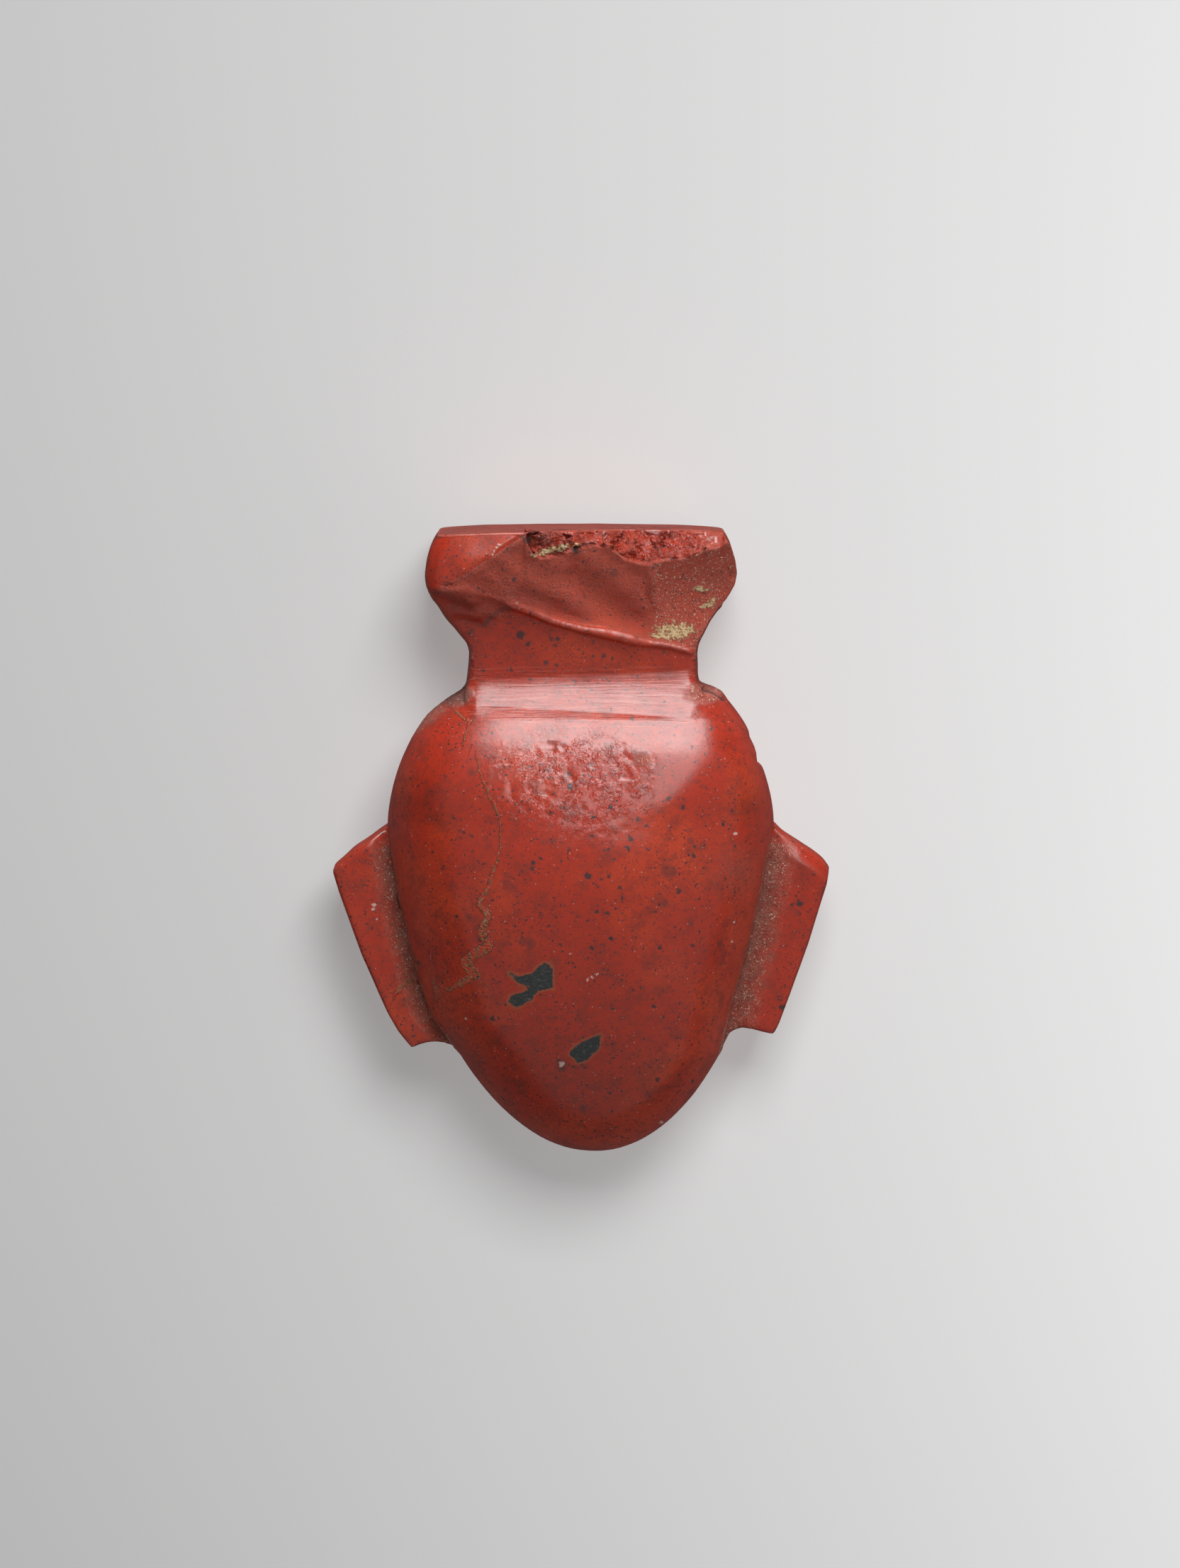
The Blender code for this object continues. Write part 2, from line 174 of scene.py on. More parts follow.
# Lug outlines, from the body along the top, down the outer side, and back along the foot
LEFT_LUG_TOP = ((-12.0, 2.6), (-15.5, 1.4), (-16.2, 0.94), (-17.1, 0.26), (-18.2, -0.43),
                (-19.0, -1.2), (-19.95, -2.0))
LEFT_LUG_SIDE = ((-19.95, -2.0), (-19.4, -3.8), (-18.57, -6.2), (-17.6, -8.9), (-16.6, -11.2),
                 (-15.55, -13.6), (-14.75, -15.0), (-13.6, -16.45))
LEFT_LUG_FOOT = ((-9.0, -17.0), (-10.6, -16.2), (-11.3, -15.95), (-12.2, -15.95), (-13.0, -16.15),
                 (-13.6, -16.45))
RIGHT_LUG_TOP = ((12.0, 3.2), (15.6, 1.5), (16.1, 0.9), (17.36, 0.1), (18.75, -0.8),
                 (19.5, -1.4), (19.95, -2.0))
RIGHT_LUG_SIDE = ((19.95, -2.0), (19.75, -3.2), (19.3, -4.6), (18.3, -7.95), (17.36, -10.6),
                  (16.5, -12.95), (15.9, -14.6), (15.5, -15.35))
RIGHT_LUG_FOOT = ((9.6, -18.0), (11.3, -16.7), (11.8, -15.45), (12.3, -15.0), (12.9, -14.8),
                  (13.8, -14.9), (14.7, -15.15), (15.5, -15.35))
LUG_FRONT = 2.1
LUG_BACK = 2.7
HOLLOW_WIDTH = {-1: 1.7, 1: 2.5}
HOLLOW_FALL = {-1: 0.9, 1: 0.8}
LUG_HEIGHT = 14.0
LUG_BEVEL = 1.0
LUG_BEVEL_SLOPE = 0.75
LUG_BEVEL_START = (0.8, 2.0)
LUG_ARRIS = math.radians(50.0)
LUG_ARRIS_ROUNDS = 3

# Marks, in the photograph's pixels
DARK_PIECE_UPPER = ((720, 1367), (731, 1374), (750, 1370), (766, 1355), (779, 1356), (781, 1389),
                    (760, 1392), (750, 1406), (731, 1417), (720, 1411), (724, 1400), (740, 1395),
                    (750, 1387), (731, 1382))
DARK_PIECE_LOWER = ((850, 1453), (828, 1462), (811, 1471), (804, 1481), (816, 1495), (828, 1489),
                    (842, 1476))
VEINS = (
    (((644, 1004), (654, 1013), (666, 1019), (662, 1029), (658, 1042), (657, 1054), (652, 1062)),
     (0.11, 0.14, 0.12, 0.09, 0.08, 0.07, 0.0)),
    (((674, 1067), (678, 1085), (683, 1101), (691, 1113), (692, 1123), (700, 1134), (707, 1152),
      (709, 1190), (705, 1210), (697, 1229), (692, 1249), (677, 1273), (692, 1287), (682, 1312),
      (692, 1331), (673, 1341), (658, 1355), (673, 1370), (653, 1384), (636, 1394), (625, 1392)),
     (0.04, 0.08, 0.08, 0.11, 0.13, 0.09, 0.06, 0.07, 0.11, 0.12, 0.14, 0.20, 0.30, 0.38, 0.42,
      0.42, 0.45, 0.42, 0.30, 0.18, 0.0)),
    (((612, 1382), (617, 1394), (619, 1406)), (0.10, 0.20, 0.08)),
    (((580, 1384), (568, 1389), (560, 1399), (556, 1409)), (0.16, 0.26, 0.18, 0.10)),
)
LEDGE_SLIT = ((993, 972), (1002, 974), (1012, 979), (1021, 986))
RIDGE_CREASE = ((686, 884), (692, 877), (700, 868), (712, 862), (724, 861))
VEIN_REACH = 40.0
MARK_REACH = 2.0

# Patches: strength, middle and half size in pixels, softness of the edge, and turn in degrees
PITTED_PATCH = ((812, 1102), (112, 62), 0.55, 0.0)
PITTED_END = (921, 925)
DIRT_PATCHES = (
    (1.0, (643, 980), (22, 17), 0.4, 0.0),
    (0.3, (764, 763), (26, 8), 0.5, -8.0),
    (0.7, (994, 978), (24, 15), 0.5, 0.0),
    (0.8, (603, 1008), (42, 13), 0.6, -40.0),
    (0.2, (1035, 1225), (26, 30), 0.9, 0.0),
    (0.6, (905, 1072), (11, 9), 0.6, 0.0),
)
OCHRE_PATCHES = (
    (1.0, (950, 893), (30, 11), 0.8, -4.0),
    (0.8, (783, 780), (33, 5), 0.7, -14.0),
    (0.8, (987, 833), (12, 4), 0.5, 10.0),
    (0.8, (1000, 853), (13, 5), 0.5, -25.0),
)
# Dark pockets: dark spots at the crushed edge's left end and in the ledge notch
DARK_POCKET_PATCHES = (
    (1.0, (748, 765), (5, 6), 0.5, 0.0),
    (1.0, (813, 781), (6, 5), 0.5, 0.0),
    (0.6, (643, 980), (22, 17), 0.4, 0.0),
)
# Shaded patches are painted shade: dark brown laid into the stone's colour on the scar and across the
# neck
SHADED_PATCHES = (
    (1.0, (742, 846), (40, 13), 0.7, 14.0),
    (1.0, (664, 872), (40, 22), 0.7, 25.0),
    (0.6, (800, 930), (150, 30), 0.8, 0.0),
)

# Where marks fade in and out: in millimetres, in pixels for slit and crease, and as a share of
# the surface's normal for what faces the front or the top or stands steep
FACES_FRONT = (-0.35, 0.0)
FACES_FRONT_WELL = (0.1, 0.35)
FACES_TOP = (0.8, 0.95)
TOP_PLANE = (0.6, 0.85)
CRUSH_TOP_PLANE = (0.75, 0.97)
CRUSH_TOP_EDGE = (TOP + 0.05, TOP + 0.28)
CRUSH_MARK_SPAN = (-4.45, -4.15, 10.7, 11.5)
CRUSH_MARK_FOOT = (-0.15, 0.15)
CRUSH_MARK_DEPTH = (0.2, 0.8)
SCAR_ABOVE, SCAR_IN_FRONT = 15.0, 0.5
LOST_STONE = (0.04, 0.2)
LUG_DIRT_INSIDE = (-1.2, -0.2)
LUG_DIRT_SHARES = (0.1, 1.15)
LUG_DIRT_HEIGHT = (-17.5, -16.0, -1.0, 1.2)
LUG_DIRT_DEPTH = (-1.0, 0.5, 2.2, 3.4)
STREAK_HEIGHT = (9.6, 10.4, 13.8, 15.0)
STREAK_HALF_WIDTH = (9.0, 9.4)
STEEP = (0.3, 0.75)
DULLED_BELOW = 12.5
GRAINY_FROM = (4.6, 7.0)
SLIT_SHADE_REACH = (0.5, 3.0)
CREASE_SHADE_REACH = (1.0, 5.0)
CREASE_STRENGTH = 0.7

# Folds of the break: line in pixels, rise in millimetres, width in pixels, and fading ends
FOLDS = (
    (((912, 794), (914, 815), (917, 840), (921, 868)), 0.16, 5.0, 0.8),
    (((612, 842), (636, 846), (658, 854), (680, 866)), 0.26, 9.0, 0.8),
    (((636, 872), (655, 873), (672, 877), (690, 880)), 0.20, 7.0, 0.8),
    (((775, 806), (795, 824), (820, 843), (850, 867), (880, 887), (905, 901), (925, 908)),
     -0.34, 13.0, 1.6),
)

# Relief of the surface, in millimetres from the smooth form. A wave gives how many to a
# millimetre and its octaves, a stretch how much finer it is along each axis, a flake its height,
# size and shift, and a crust its height, the height of its grit, and the grit's wave.
MARKED = 0.01
OFF_FLOOR = 0.05
SWELL = 0.03
SWELL_WAVE = (0.28, 2)
FLAKES = ((0.75, 2.0, 0.0), (0.35, 0.9, 5.0))
FLAKE_GRIT = 0.10
GRIT_WAVE = (1.4, 3)
TILT_SHUFFLE = 37.0
CRUSH_GAIN = 1.3
CRUSH_SINK = 0.17
CRUSH_PROUD = 0.04
BREAK_GRAIN = 0.05
GRAIN_WAVE = (1.1, 4)
GRAIN_STRETCH = np.array((0.7, 1.0, 1.0))
BAND_SLANT = math.radians(38.0)
BAND_WIDTH = 2.0
BAND_RISE = 0.045
BAND_WANDER = 1.8
BAND_WAVE = (0.25, 1)
BAND_END = (4.5, 6.0)
HACKLE_LINE = 12.6
HACKLE_SPAN = (-1.2, -0.3, 0.6, 1.6)
HACKLE_RISE = 0.06
HACKLE_WAVE = (1.6, 3)
HACKLE_STRETCH = np.array((1.6, 0.7, 1.0))
LIP_WIDTH = 0.24
LIP_RISE = 0.26
LIP_SPAN = (-6.1, -5.4, 8.6, 9.2)
LIP_ABOVE = PARTING + 1.0
PIT_GAIN = 0.22
PIT_PROUD = 0.05
PIT_WAVE = (1.9, 4)
UNEVEN_WAVE = (0.35, 2)
UNEVEN_SHIFT = 9.0
UNEVEN_LEVELS = (-0.35, 0.5)
CRUST_RISE = {"dirt": (0.03, 0.06, 1.8, 3), "ochre": (0.05, 0.08, 1.6, 2)}
SLIT_DEPTH = 0.25
SLIT_WIDTH = (1.0, 6.0)
NICK_MIDDLE = np.array((14.3, 6.85, PARTING))
NICK_SIZE = np.array((1.0, 0.42, 3.0))
NICK_DEPTH = 0.55
BEND_LIMIT = 8.0
BEND_SEEN = (0.7, 3.0)

# Single specks: across, down and radius
DARK_SPECKS = (
    (736, 898, 8), (746, 911, 4), (788, 903, 4), (771, 936, 4), (786, 941, 3), (722, 947, 3),
    (837, 927, 3), (852, 928, 4), (864, 931, 3), (812, 962, 3), (749, 960, 3), (899, 955, 3),
    (888, 1182, 5), (884, 1194, 3), (962, 1139, 5), (1030, 1143, 3), (1001, 1029, 3),
    (955, 1254, 5), (976, 1205, 4), (830, 1233, 6), (858, 1233, 4), (874, 1249, 4),
    (861, 1138, 4), (899, 1155, 4), (910, 1164, 3), (941, 1126, 5), (858, 1285, 4),
    (842, 1283, 3), (891, 1015, 4), (594, 1109, 3), (630, 1093, 3), (644, 1153, 3),
    (657, 1174, 3), (614, 1201, 3), (628, 1223, 4), (647, 1290, 4), (591, 1357, 4),
    (754, 1215, 4), (753, 1223, 4), (765, 1209, 3), (793, 1212, 3), (803, 1198, 3),
    (778, 1145, 3), (803, 1092, 4), (805, 1110, 6), (783, 1118, 3), (836, 1178, 3),
    (858, 1196, 3), (927, 1519, 5), (977, 1523, 3), (861, 1538, 3), (929, 1333, 4),
    (835, 1333, 4), (791, 1327, 3), (776, 1302, 3), (697, 1432, 4), (1127, 1274, 5),
    (1103, 1421, 5), (813, 781, 4), (747, 767, 6),
)
FAINT_SPECKS = ((990, 1192, 8), (942, 1227, 12), (936, 1272, 8), (973, 1185, 7), (740, 1324, 7),
                (823, 1561, 8), (1125, 1287, 5), (793, 1497, 12))
PALE_SPECKS = (
    (529, 1276, 3), (528, 1282, 3), (533, 1296, 2), (1035, 1175, 3), (659, 1432, 3),
    (933, 1583, 3), (1030, 1326, 2), (1033, 1298, 2), (793, 1497, 5), (835, 1374, 2),
    (829, 1377, 2), (842, 1370, 2), (805, 1342, 2), (698, 787, 2), (700, 783, 2), (703, 778, 2),
    (706, 773, 2), (731, 853, 2),
)

# Fineness of the surface
FRONT_COLUMNS = 176
BACK_COLUMNS = 80
DENSE = 900
ROWS = ((-25.0, 1.5, 112), (1.5, 10.0, 44), (10.0, 11.4, 12), (11.4, 12.8, 20), (12.8, 13.9, 8),
        (13.9, 25.0, 82))
CRUSH_ROWS = 18
CAP_ROWS = 8
LUG_ACROSS = 26
LUG_DOWN = 64
LUG_THROUGH = 12


def ease(start, end, at):
    share = np.clip((at - start) / (end - start), 0.0, 1.0)
    return share * share * (3.0 - 2.0 * share)


def between(start, full, fading, end, at):
    """1 from full to fading, and 0 before the start and after the end."""
    return ease(start, full, at) * (1.0 - ease(fading, end, at))


def mix(low, high, share):
    return low + (high - low) * share


def along(points, at):
    """The value of a line given by a few points, without smoothing."""
    table = np.array(points)
    return np.interp(at, table[:, 0], table[:, 1])


def photo_pixels(points):
    """Where points of the amulet show in the photograph."""
    height = points[:, 1] * math.cos(VIEW_TILT) - (points[:, 2] - PARTING) * math.sin(VIEW_TILT)
    return np.column_stack((MIDDLE_PIXEL[0] + points[:, 0] / MM_PER_PIXEL,
                            MIDDLE_PIXEL[1] - height / MM_PER_PIXEL))


# Body form


def egg_half_width(y):
    below = np.clip((WIDEST - y) / (WIDEST - TIP), 0.0, 1.0)
    above = np.clip((y - WIDEST) / EGG_RISE, 0.0, 1.0)
    lower = np.sqrt(1.0 - below ** LOWER_FULLNESS)
    upper = np.sqrt(1.0 - above ** UPPER_FULLNESS)
    return EGG_HALF_WIDTH * np.where(y < WIDEST, lower, upper)


def lean(y):
    return TIP_LEAN * np.maximum(WIDEST - y, 0.0) / (WIDEST - TIP)


def outline_table(side, flank, neck):
    """Half width on one side against height: the egg, and the measured line where it differs."""
    y = np.linspace(TIP, TOP, 2501)
    step = y[1] - y[0]
    width = egg_half_width(y) + side * lean(y)
    for points in (flank, neck):
        table = np.array(points)
        inside = (y >= table[0, 0]) & (y <= table[-1, 0])
        width[inside] = np.interp(y[inside], table[:, 0], table[:, 1])
    wide = int(3.0 * OUTLINE_BLEND / step)
    kernel = np.exp(-0.5 * (np.arange(-wide, wide + 1) * step / OUTLINE_BLEND) ** 2)
    padded = np.concatenate((2 * width[0] - width[wide:0:-1], width,
                             2 * width[-1] - width[-2:-wide - 2:-1]))
    smooth = np.convolve(padded, kernel / kernel.sum(), mode="valid")
    smooth = np.where(y < TIP + TIP_KEPT, width, smooth)
    return y, smooth - side * lean(y)


OUTLINES = {-1: outline_table(-1, LEFT_FLANK, LEFT_NECK),
            1: outline_table(1, RIGHT_FLANK, RIGHT_NECK)}


def half_width(side, y):
    return np.interp(y, *OUTLINES[side])


def dome_depth(y, depth, close):
    below = np.clip((DOME_TOP - y) / (DOME_TOP - TIP), 0.0, 1.0)
    above = np.clip((y - DOME_TOP) / (close - DOME_TOP), 0.0, 1.0)
    return depth * np.where(y < DOME_TOP, np.sqrt(1.0 - below ** DOME_FALL),
                            np.sqrt(1.0 - above ** 2))


def neck_swell(y):
    return ease(WAIST, RIM_WIDEST, y)


def past_rim(y):
    return np.maximum(y - RIM_WIDEST, 0.0) / (TOP - RIM_WIDEST)


def side_width(x, y):
    """Half width of the outline, on the side that x is on."""
    return np.where(x < 0.0, half_width(-1, y), half_width(1, y))


def reach(share, power):
    """How far a cross-section stands out at a share of its half width."""
    return np.maximum(1.0 - np.clip(share, 0.0, 1.0) ** power, 0.0) ** (1.0 / power)


def soft_start(share):
    """From 0 to 1, setting off level and then climbing evenly."""
    return ((np.hypot(share, RAMP_SOFTNESS) - RAMP_SOFTNESS)
            / (math.hypot(1.0, RAMP_SOFTNESS) - RAMP_SOFTNESS))


def front_surface(x, y):
    """Depth of the unbroken front: dome, wall, ramp, waist and rim, and the two shoulders."""
    to_right = np.clip(0.5 + 0.5 * x / FRONT_HALF_SPAN, 0.0, 1.0)
    close = DOME_EDGE + DOME_CLOSE
    power = mix(DOME_SQUARENESS, SHOULDER_SQUARENESS, ease(WIDEST, DOME_EDGE, y))
    body_reach = reach(np.abs(x) / side_width(x, y), power)
    dome = dome_depth(y, DOME_FRONT, close) * body_reach
    edge_middle = dome_depth(np.array(DOME_EDGE), DOME_FRONT, close)
    edge = edge_middle * reach(np.abs(x) / side_width(x, DOME_EDGE), SHOULDER_SQUARENESS)
    wall_top = mix(WALL_TOP[0], WALL_TOP[1], to_right)
    foot = mix(RAMP_FOOT[0], RAMP_FOOT[1], to_right)
    wall = mix(edge, foot, (y - DOME_EDGE) / (wall_top - DOME_EDGE))
    ramp_top = mix(RAMP_TOP[0], RAMP_TOP[1], to_right)
    left = np.clip((ramp_top - y) / (ramp_top - wall_top), 0.0, 1.0)
    ramp = WAIST_FRONT + (foot - WAIST_FRONT) * soft_start(left)
    flare = np.clip((y - FLARE[0]) / (FLARE[1] - FLARE[0]), 0.0, 1.0) ** FLARE_CURVE
    neck = mix(WAIST_FRONT, RIM_FRONT, flare) - RIM_FRONT_SHOULDER * past_rim(y) ** 2
    carved = np.where(y < wall_top, wall, np.maximum(ramp, neck))
    box = np.abs(x) / side_width(x, np.maximum(y, NECK_FOOT))
    box_reach = reach(box, mix(WAIST_SQUARENESS, RIM_SQUARENESS, neck_swell(y)))
    fall = (y - DOME_EDGE) * mix(SHOULDER_SLOPE[0], SHOULDER_SLOPE[1], to_right)
    shoulder = np.maximum(edge_middle - fall, 0.0) * body_reach
    beside = ease(SHOULDER_START, SHOULDER_END, np.abs(x))
    low_part = mix(carved, np.minimum(carved, shoulder), beside)
    carved = mix(low_part, carved * box_reach, ease(DOME_EDGE, NECK_FOOT - BOX_EARLY, y))
    shoulder = shoulder * beside * (1.0 - ease(*SHOULDER_CLOSE, y))
    return np.where(y < DOME_EDGE, dome, np.maximum(carved, shoulder))


def back_depth(y):
    body = dome_depth(y, DOME_BACK, BACK_CLOSE)
    neck = mix(WAIST_BACK, RIM_BACK, neck_swell(y))
    return mix(body, neck, ease(*BACK_NECK, y))


def back_squareness(y):
    neck = mix(WAIST_SQUARENESS, RIM_SQUARENESS, neck_swell(y))
    return mix(BACK_SQUARENESS, neck, ease(*BACK_BOXING, y))


def scoop(x):
    """How much the shallow scar under the left facet takes off along its upper edge."""
    return SCOOP_DEPTH * between(*SCOOP_SPAN, x)


def scar_depth(x, y):
    """Depth of the two scars, each a hollow between its edges."""
    low = along(RIDGE, x)
    high = along(SCAR_TOP, x)
    trough = along(HOLLOW_LINE, x)
    inner = np.clip(x, SCAR_INSET - half_width(-1, low), half_width(1, low) - SCAR_INSET)
    low_depth = front_surface(inner, low) - scoop(x)
    deep = np.minimum(along(HOLLOW_DEPTH, x), low_depth)
    high_depth = np.where(x < SCAR_TOP_DEPTH[0][0], front_surface(x, high),
                          along(SCAR_TOP_DEPTH, x))
    down = np.maximum(trough - y, 0.0) / np.maximum(trough - low, LEAST_HEIGHT)
    up = np.maximum(y - trough, 0.0) / np.maximum(high - trough, LEAST_HEIGHT)
    main = (deep + (low_depth - deep) * down ** RIDGE_POWER
            + (high_depth - deep) * up ** UPPER_POWER)
    main = np.where(y > high, UNTOUCHED, main)
    across = x - BOWL_MIDDLE[0]
    rise = y - BOWL_MIDDLE[1]
    bowl = BOWL_DEPTH + np.where(across < 0.0, BOWL_BEND_LEFT, BOWL_BEND_RIGHT) * across ** 2
    bowl = bowl + np.where(rise > 0.0, BOWL_BEND_UP, BOWL_BEND_DOWN) * rise ** 2
    return np.minimum(main, np.where(x > BOWL_START, bowl, UNTOUCHED))


def crush_edge(x):
    """Height where the upright front ends: the crushed edge's ragged foot, or the top."""
    places = RAGGED_START + RAGGED_FINENESS * x
    ragged = [noise.fractal(Vector((place, 0.0, 0.0)), *RAGGED_NOISE) for place in places]
    foot = along(CRUSH_FOOT, x) + CRUSH_RAGGED * np.array(ragged)
    return mix(np.full_like(x, TOP - ARRIS_ROUND), foot, between(*CRUSH_SPAN, x))


def half_ring(y, front, columns):
    """Points of one half ring, evenly spaced along it, from the right side or back to it."""
    start = ROWS[-1][0]
    share = max(y - start, 0.0) / (TOP - start)
    level = mix(start, TOP - ARRIS_ROUND, share) if share > 0.0 else y
    side = np.cos(np.linspace(0.0, math.pi, DENSE)) * (1.0 if front else -1.0)
    across = side * np.where(side < 0.0, half_width(-1, level), half_width(1, level))
    height = np.full_like(across, level)
    if front:
        if share > 0.0:
            upright = ease(*UPRIGHT, front_surface(across, height))
            height = mix(start, mix(TOP - ARRIS_ROUND, crush_edge(across), upright), share)
        depth = front_surface(across, height)
        broken = (height > along(RIDGE, across)) & (across > RIDGE[0][0]) & (y > SCAR_LOWEST)
        ridge = along(RIDGE, across)
        below = ease(ridge - SCOOP_HEIGHT, ridge, height) * (height < ridge)
        depth = depth - scoop(across) * below
        scar = np.maximum(scar_depth(across, height), 0.0)
        depth = np.where(broken, np.minimum(depth, scar), depth)
    else:
        depth = -back_depth(height) * reach(np.abs(side), back_squareness(level))
    taper = WAIST_TAPER * ease(*TAPER_START, level) * (1.0 - neck_swell(level))
    across = across * (1.0 - taper * (depth / WAIST_FRONT) ** 2)
    line = np.column_stack((across + lean(y), height, depth))
    steps = np.linalg.norm(np.diff(line, axis=0), axis=1)
    length = np.concatenate(((0.0,), np.cumsum(steps)))
    places = np.linspace(0.0, length[-1], columns + 1)
    return np.column_stack([np.interp(places, length, line[:, axis]) for axis in range(3)])[:-1]


def ring(y):
    return np.vstack((half_ring(y, True, FRONT_COLUMNS), half_ring(y, False, BACK_COLUMNS)))


def body_points():
    """Rings of points from the tip up over the crushed edge to the middle of the top."""
    rings = []
    for low, high, count in ROWS:
        share = np.arange(count) / count
        if low == TIP:
            share = 1.0 - np.cos(0.5 * math.pi * share)
        rings.extend(ring(y) for y in mix(low, high, share))
    rim = ring(TOP)
    rings.append(rim)
    sunk = rim[:, 1] < TOP - ARRIS_ROUND - CRUSH_NOTICED
    crushed = (sunk & (rim[:, 2] > 0.0)).astype(float)
    from_middle = np.maximum(np.hypot(rim[:, 0], rim[:, 2]), 1.0)
    inset = rim * (1.0 - ARRIS_INSET / from_middle)[:, None]
    depth = np.minimum(along(CRUSH_TOP, rim[:, 0]), rim[:, 2] - CRUSH_BEHIND)
    goal = np.column_stack((rim[:, 0] * CRUSH_INWARD, np.full(len(rim), TOP),
                            mix(inset[:, 2], depth, crushed)))
    for step in range(1, CRUSH_ROWS + 1):
        share = step / CRUSH_ROWS
        turn = 0.5 * math.pi * share
        climb = mix(np.full(len(rim), math.sin(turn)), share ** CRUSH_CLIMB, crushed)
        inward = mix(np.full(len(rim), 1.0 - math.cos(turn)), share, crushed)
        rings.append(np.column_stack((mix(rim[:, 0], goal[:, 0], inward),
                                      mix(rim[:, 1], goal[:, 1], climb),
                                      mix(rim[:, 2], goal[:, 2], inward))))
    middle = np.array(CAP_MIDDLE)
    rings.extend(mix(goal, middle, step / CAP_ROWS) for step in range(1, CAP_ROWS + 1))
    return np.array(rings)


def place_grid(shape, rows, columns, points):
    """Move a fresh grid's corners to points[row, column]."""
    for corner in shape.verts:
        column = round((corner.co.x + 0.5) * columns)
        row = round((corner.co.y + 0.5) * rows)
        corner.co = points[row, column]


def body_shape():
    """The body as one closed skin, with a slight crown on its top."""
    points = body_points()
    across = np.clip(np.abs(points[..., 0]) / CROWN_HALF_WIDTH, 0.0, 1.0)
    points[..., 1] += TOP_CROWN * ease(CROWN_START, TOP, points[..., 1]) * (1.0 - across ** 3)
    points[..., 2] += PARTING
    points = np.concatenate((points, points[:, :1]), axis=1)
    rows, columns = points.shape[0] - 1, points.shape[1] - 1
    shape = bmesh.new()
    bmesh.ops.create_grid(shape, x_segments=columns, y_segments=rows, size=0.5)
    place_grid(shape, rows, columns, points)
    bmesh.ops.remove_doubles(shape, verts=shape.verts, dist=0.002)
    bmesh.ops.recalc_face_normals(shape, faces=shape.faces)
    return shape


# Lugs


def spaced(points, count):
    """Evenly spaced points along a line of a few corners."""
    line = np.array(points, dtype=float)
    length = np.concatenate(((0.0,), np.cumsum(np.linalg.norm(np.diff(line, axis=0), axis=1))))
    marks = np.linspace(0.0, length[-1], count + 1)
    return np.column_stack([np.interp(marks, length, line[:, axis]) for axis in range(2)])


def lug_shape(side, top, outer, foot):
    """A slab between four curved edges, hollowed next to the body and rounded at its arrises."""
    top_line, foot_line = spaced(top, LUG_ACROSS), spaced(foot, LUG_ACROSS)
    outer_line = spaced(outer, LUG_DOWN)
    inner_line = spaced((top[0], foot[0]), LUG_DOWN)
    out = np.linspace(0.0, 1.0, LUG_ACROSS + 1)[None, :, None]
    down = np.linspace(0.0, 1.0, LUG_DOWN + 1)[:, None, None]
    corners = mix(mix(top_line[0], top_line[-1], out), mix(foot_line[0], foot_line[-1], out), down)
    flat = (mix(top_line[None], foot_line[None], down)
            + mix(inner_line[:, None], outer_line[:, None], out) - corners)
    x, y = flat[..., 0], flat[..., 1]
    from_body = side * x - (half_width(side, y) + side * lean(y))
    depth = LUG_FRONT - HOLLOW_FALL[side] * (1.0 - ease(0.0, HOLLOW_WIDTH[side], from_body))
    if side > 0:
        bevel = np.maximum(LUG_BEVEL - down[..., 0] * LUG_HEIGHT, 0.0)
        depth = depth - LUG_BEVEL_SLOPE * bevel * ease(*LUG_BEVEL_START, from_body)
    points = np.dstack((x, y, PARTING + depth))
    shape = bmesh.new()
    bmesh.ops.create_grid(shape, x_segments=LUG_ACROSS, y_segments=LUG_DOWN, size=0.5)
    place_grid(shape, LUG_DOWN, LUG_ACROSS, points)
    drawn = bmesh.ops.extrude_face_region(shape, geom=shape.faces)
    for corner in drawn["geom"]:
        if isinstance(corner, bmesh.types.BMVert):
            corner.co.z = PARTING - LUG_BACK
    upright = [item for item in shape.edges if abs(item.verts[0].co.z - item.verts[1].co.z) > 2.0]
    bmesh.ops.subdivide_edges(shape, edges=upright, cuts=LUG_THROUGH - 1, use_grid_fill=True)
    bmesh.ops.recalc_face_normals(shape, faces=shape.faces)
    arrises = set()
    for item in shape.edges:
        if item.calc_face_angle(0.0) > LUG_ARRIS:
            arrises.update(item.verts)
    for _ in range(LUG_ARRIS_ROUNDS):
        bmesh.ops.smooth_vert(shape, verts=list(arrises), factor=0.5, use_axis_x=True,
                              use_axis_y=True, use_axis_z=True)
        for corner in list(arrises):
            for link in corner.link_edges:
                arrises.add(link.other_vert(corner))
    return shape


def new_object(name, shape):
    mesh = bpy.data.meshes.new(name)
    shape.to_mesh(mesh)
    shape.free()
    item = bpy.data.objects.new(name, mesh)
    bpy.context.scene.collection.objects.link(item)
    return item


def join_lug(body, shape):
    lug = new_object("lug", shape)
    step = body.modifiers.new("lug", "BOOLEAN")
    step.operation = "UNION"
    step.solver = "EXACT"
    step.object = lug
    depsgraph = bpy.context.evaluated_depsgraph_get()
    joined = bpy.data.meshes.new_from_object(body.evaluated_get(depsgraph))
    body.modifiers.clear()
    body.data = joined
    bpy.data.objects.remove(lug, do_unlink=True)


# Relief and marks of the real surface


def inside_lines(points, outline):
    """True for the points inside a closed line of corners."""
    corners = np.array(outline, dtype=float)
    following = np.roll(corners, -1, axis=0)
    inside = np.zeros(len(points), dtype=bool)
    for (x0, y0), (x1, y1) in zip(corners, following):
        crosses = (y0 > points[:, 1]) != (y1 > points[:, 1])
        with np.errstate(divide="ignore", invalid="ignore"):
            at = x0 + (points[:, 1] - y0) * (x1 - x0) / (y1 - y0)
        inside ^= crosses & (points[:, 0] < at)
    return inside


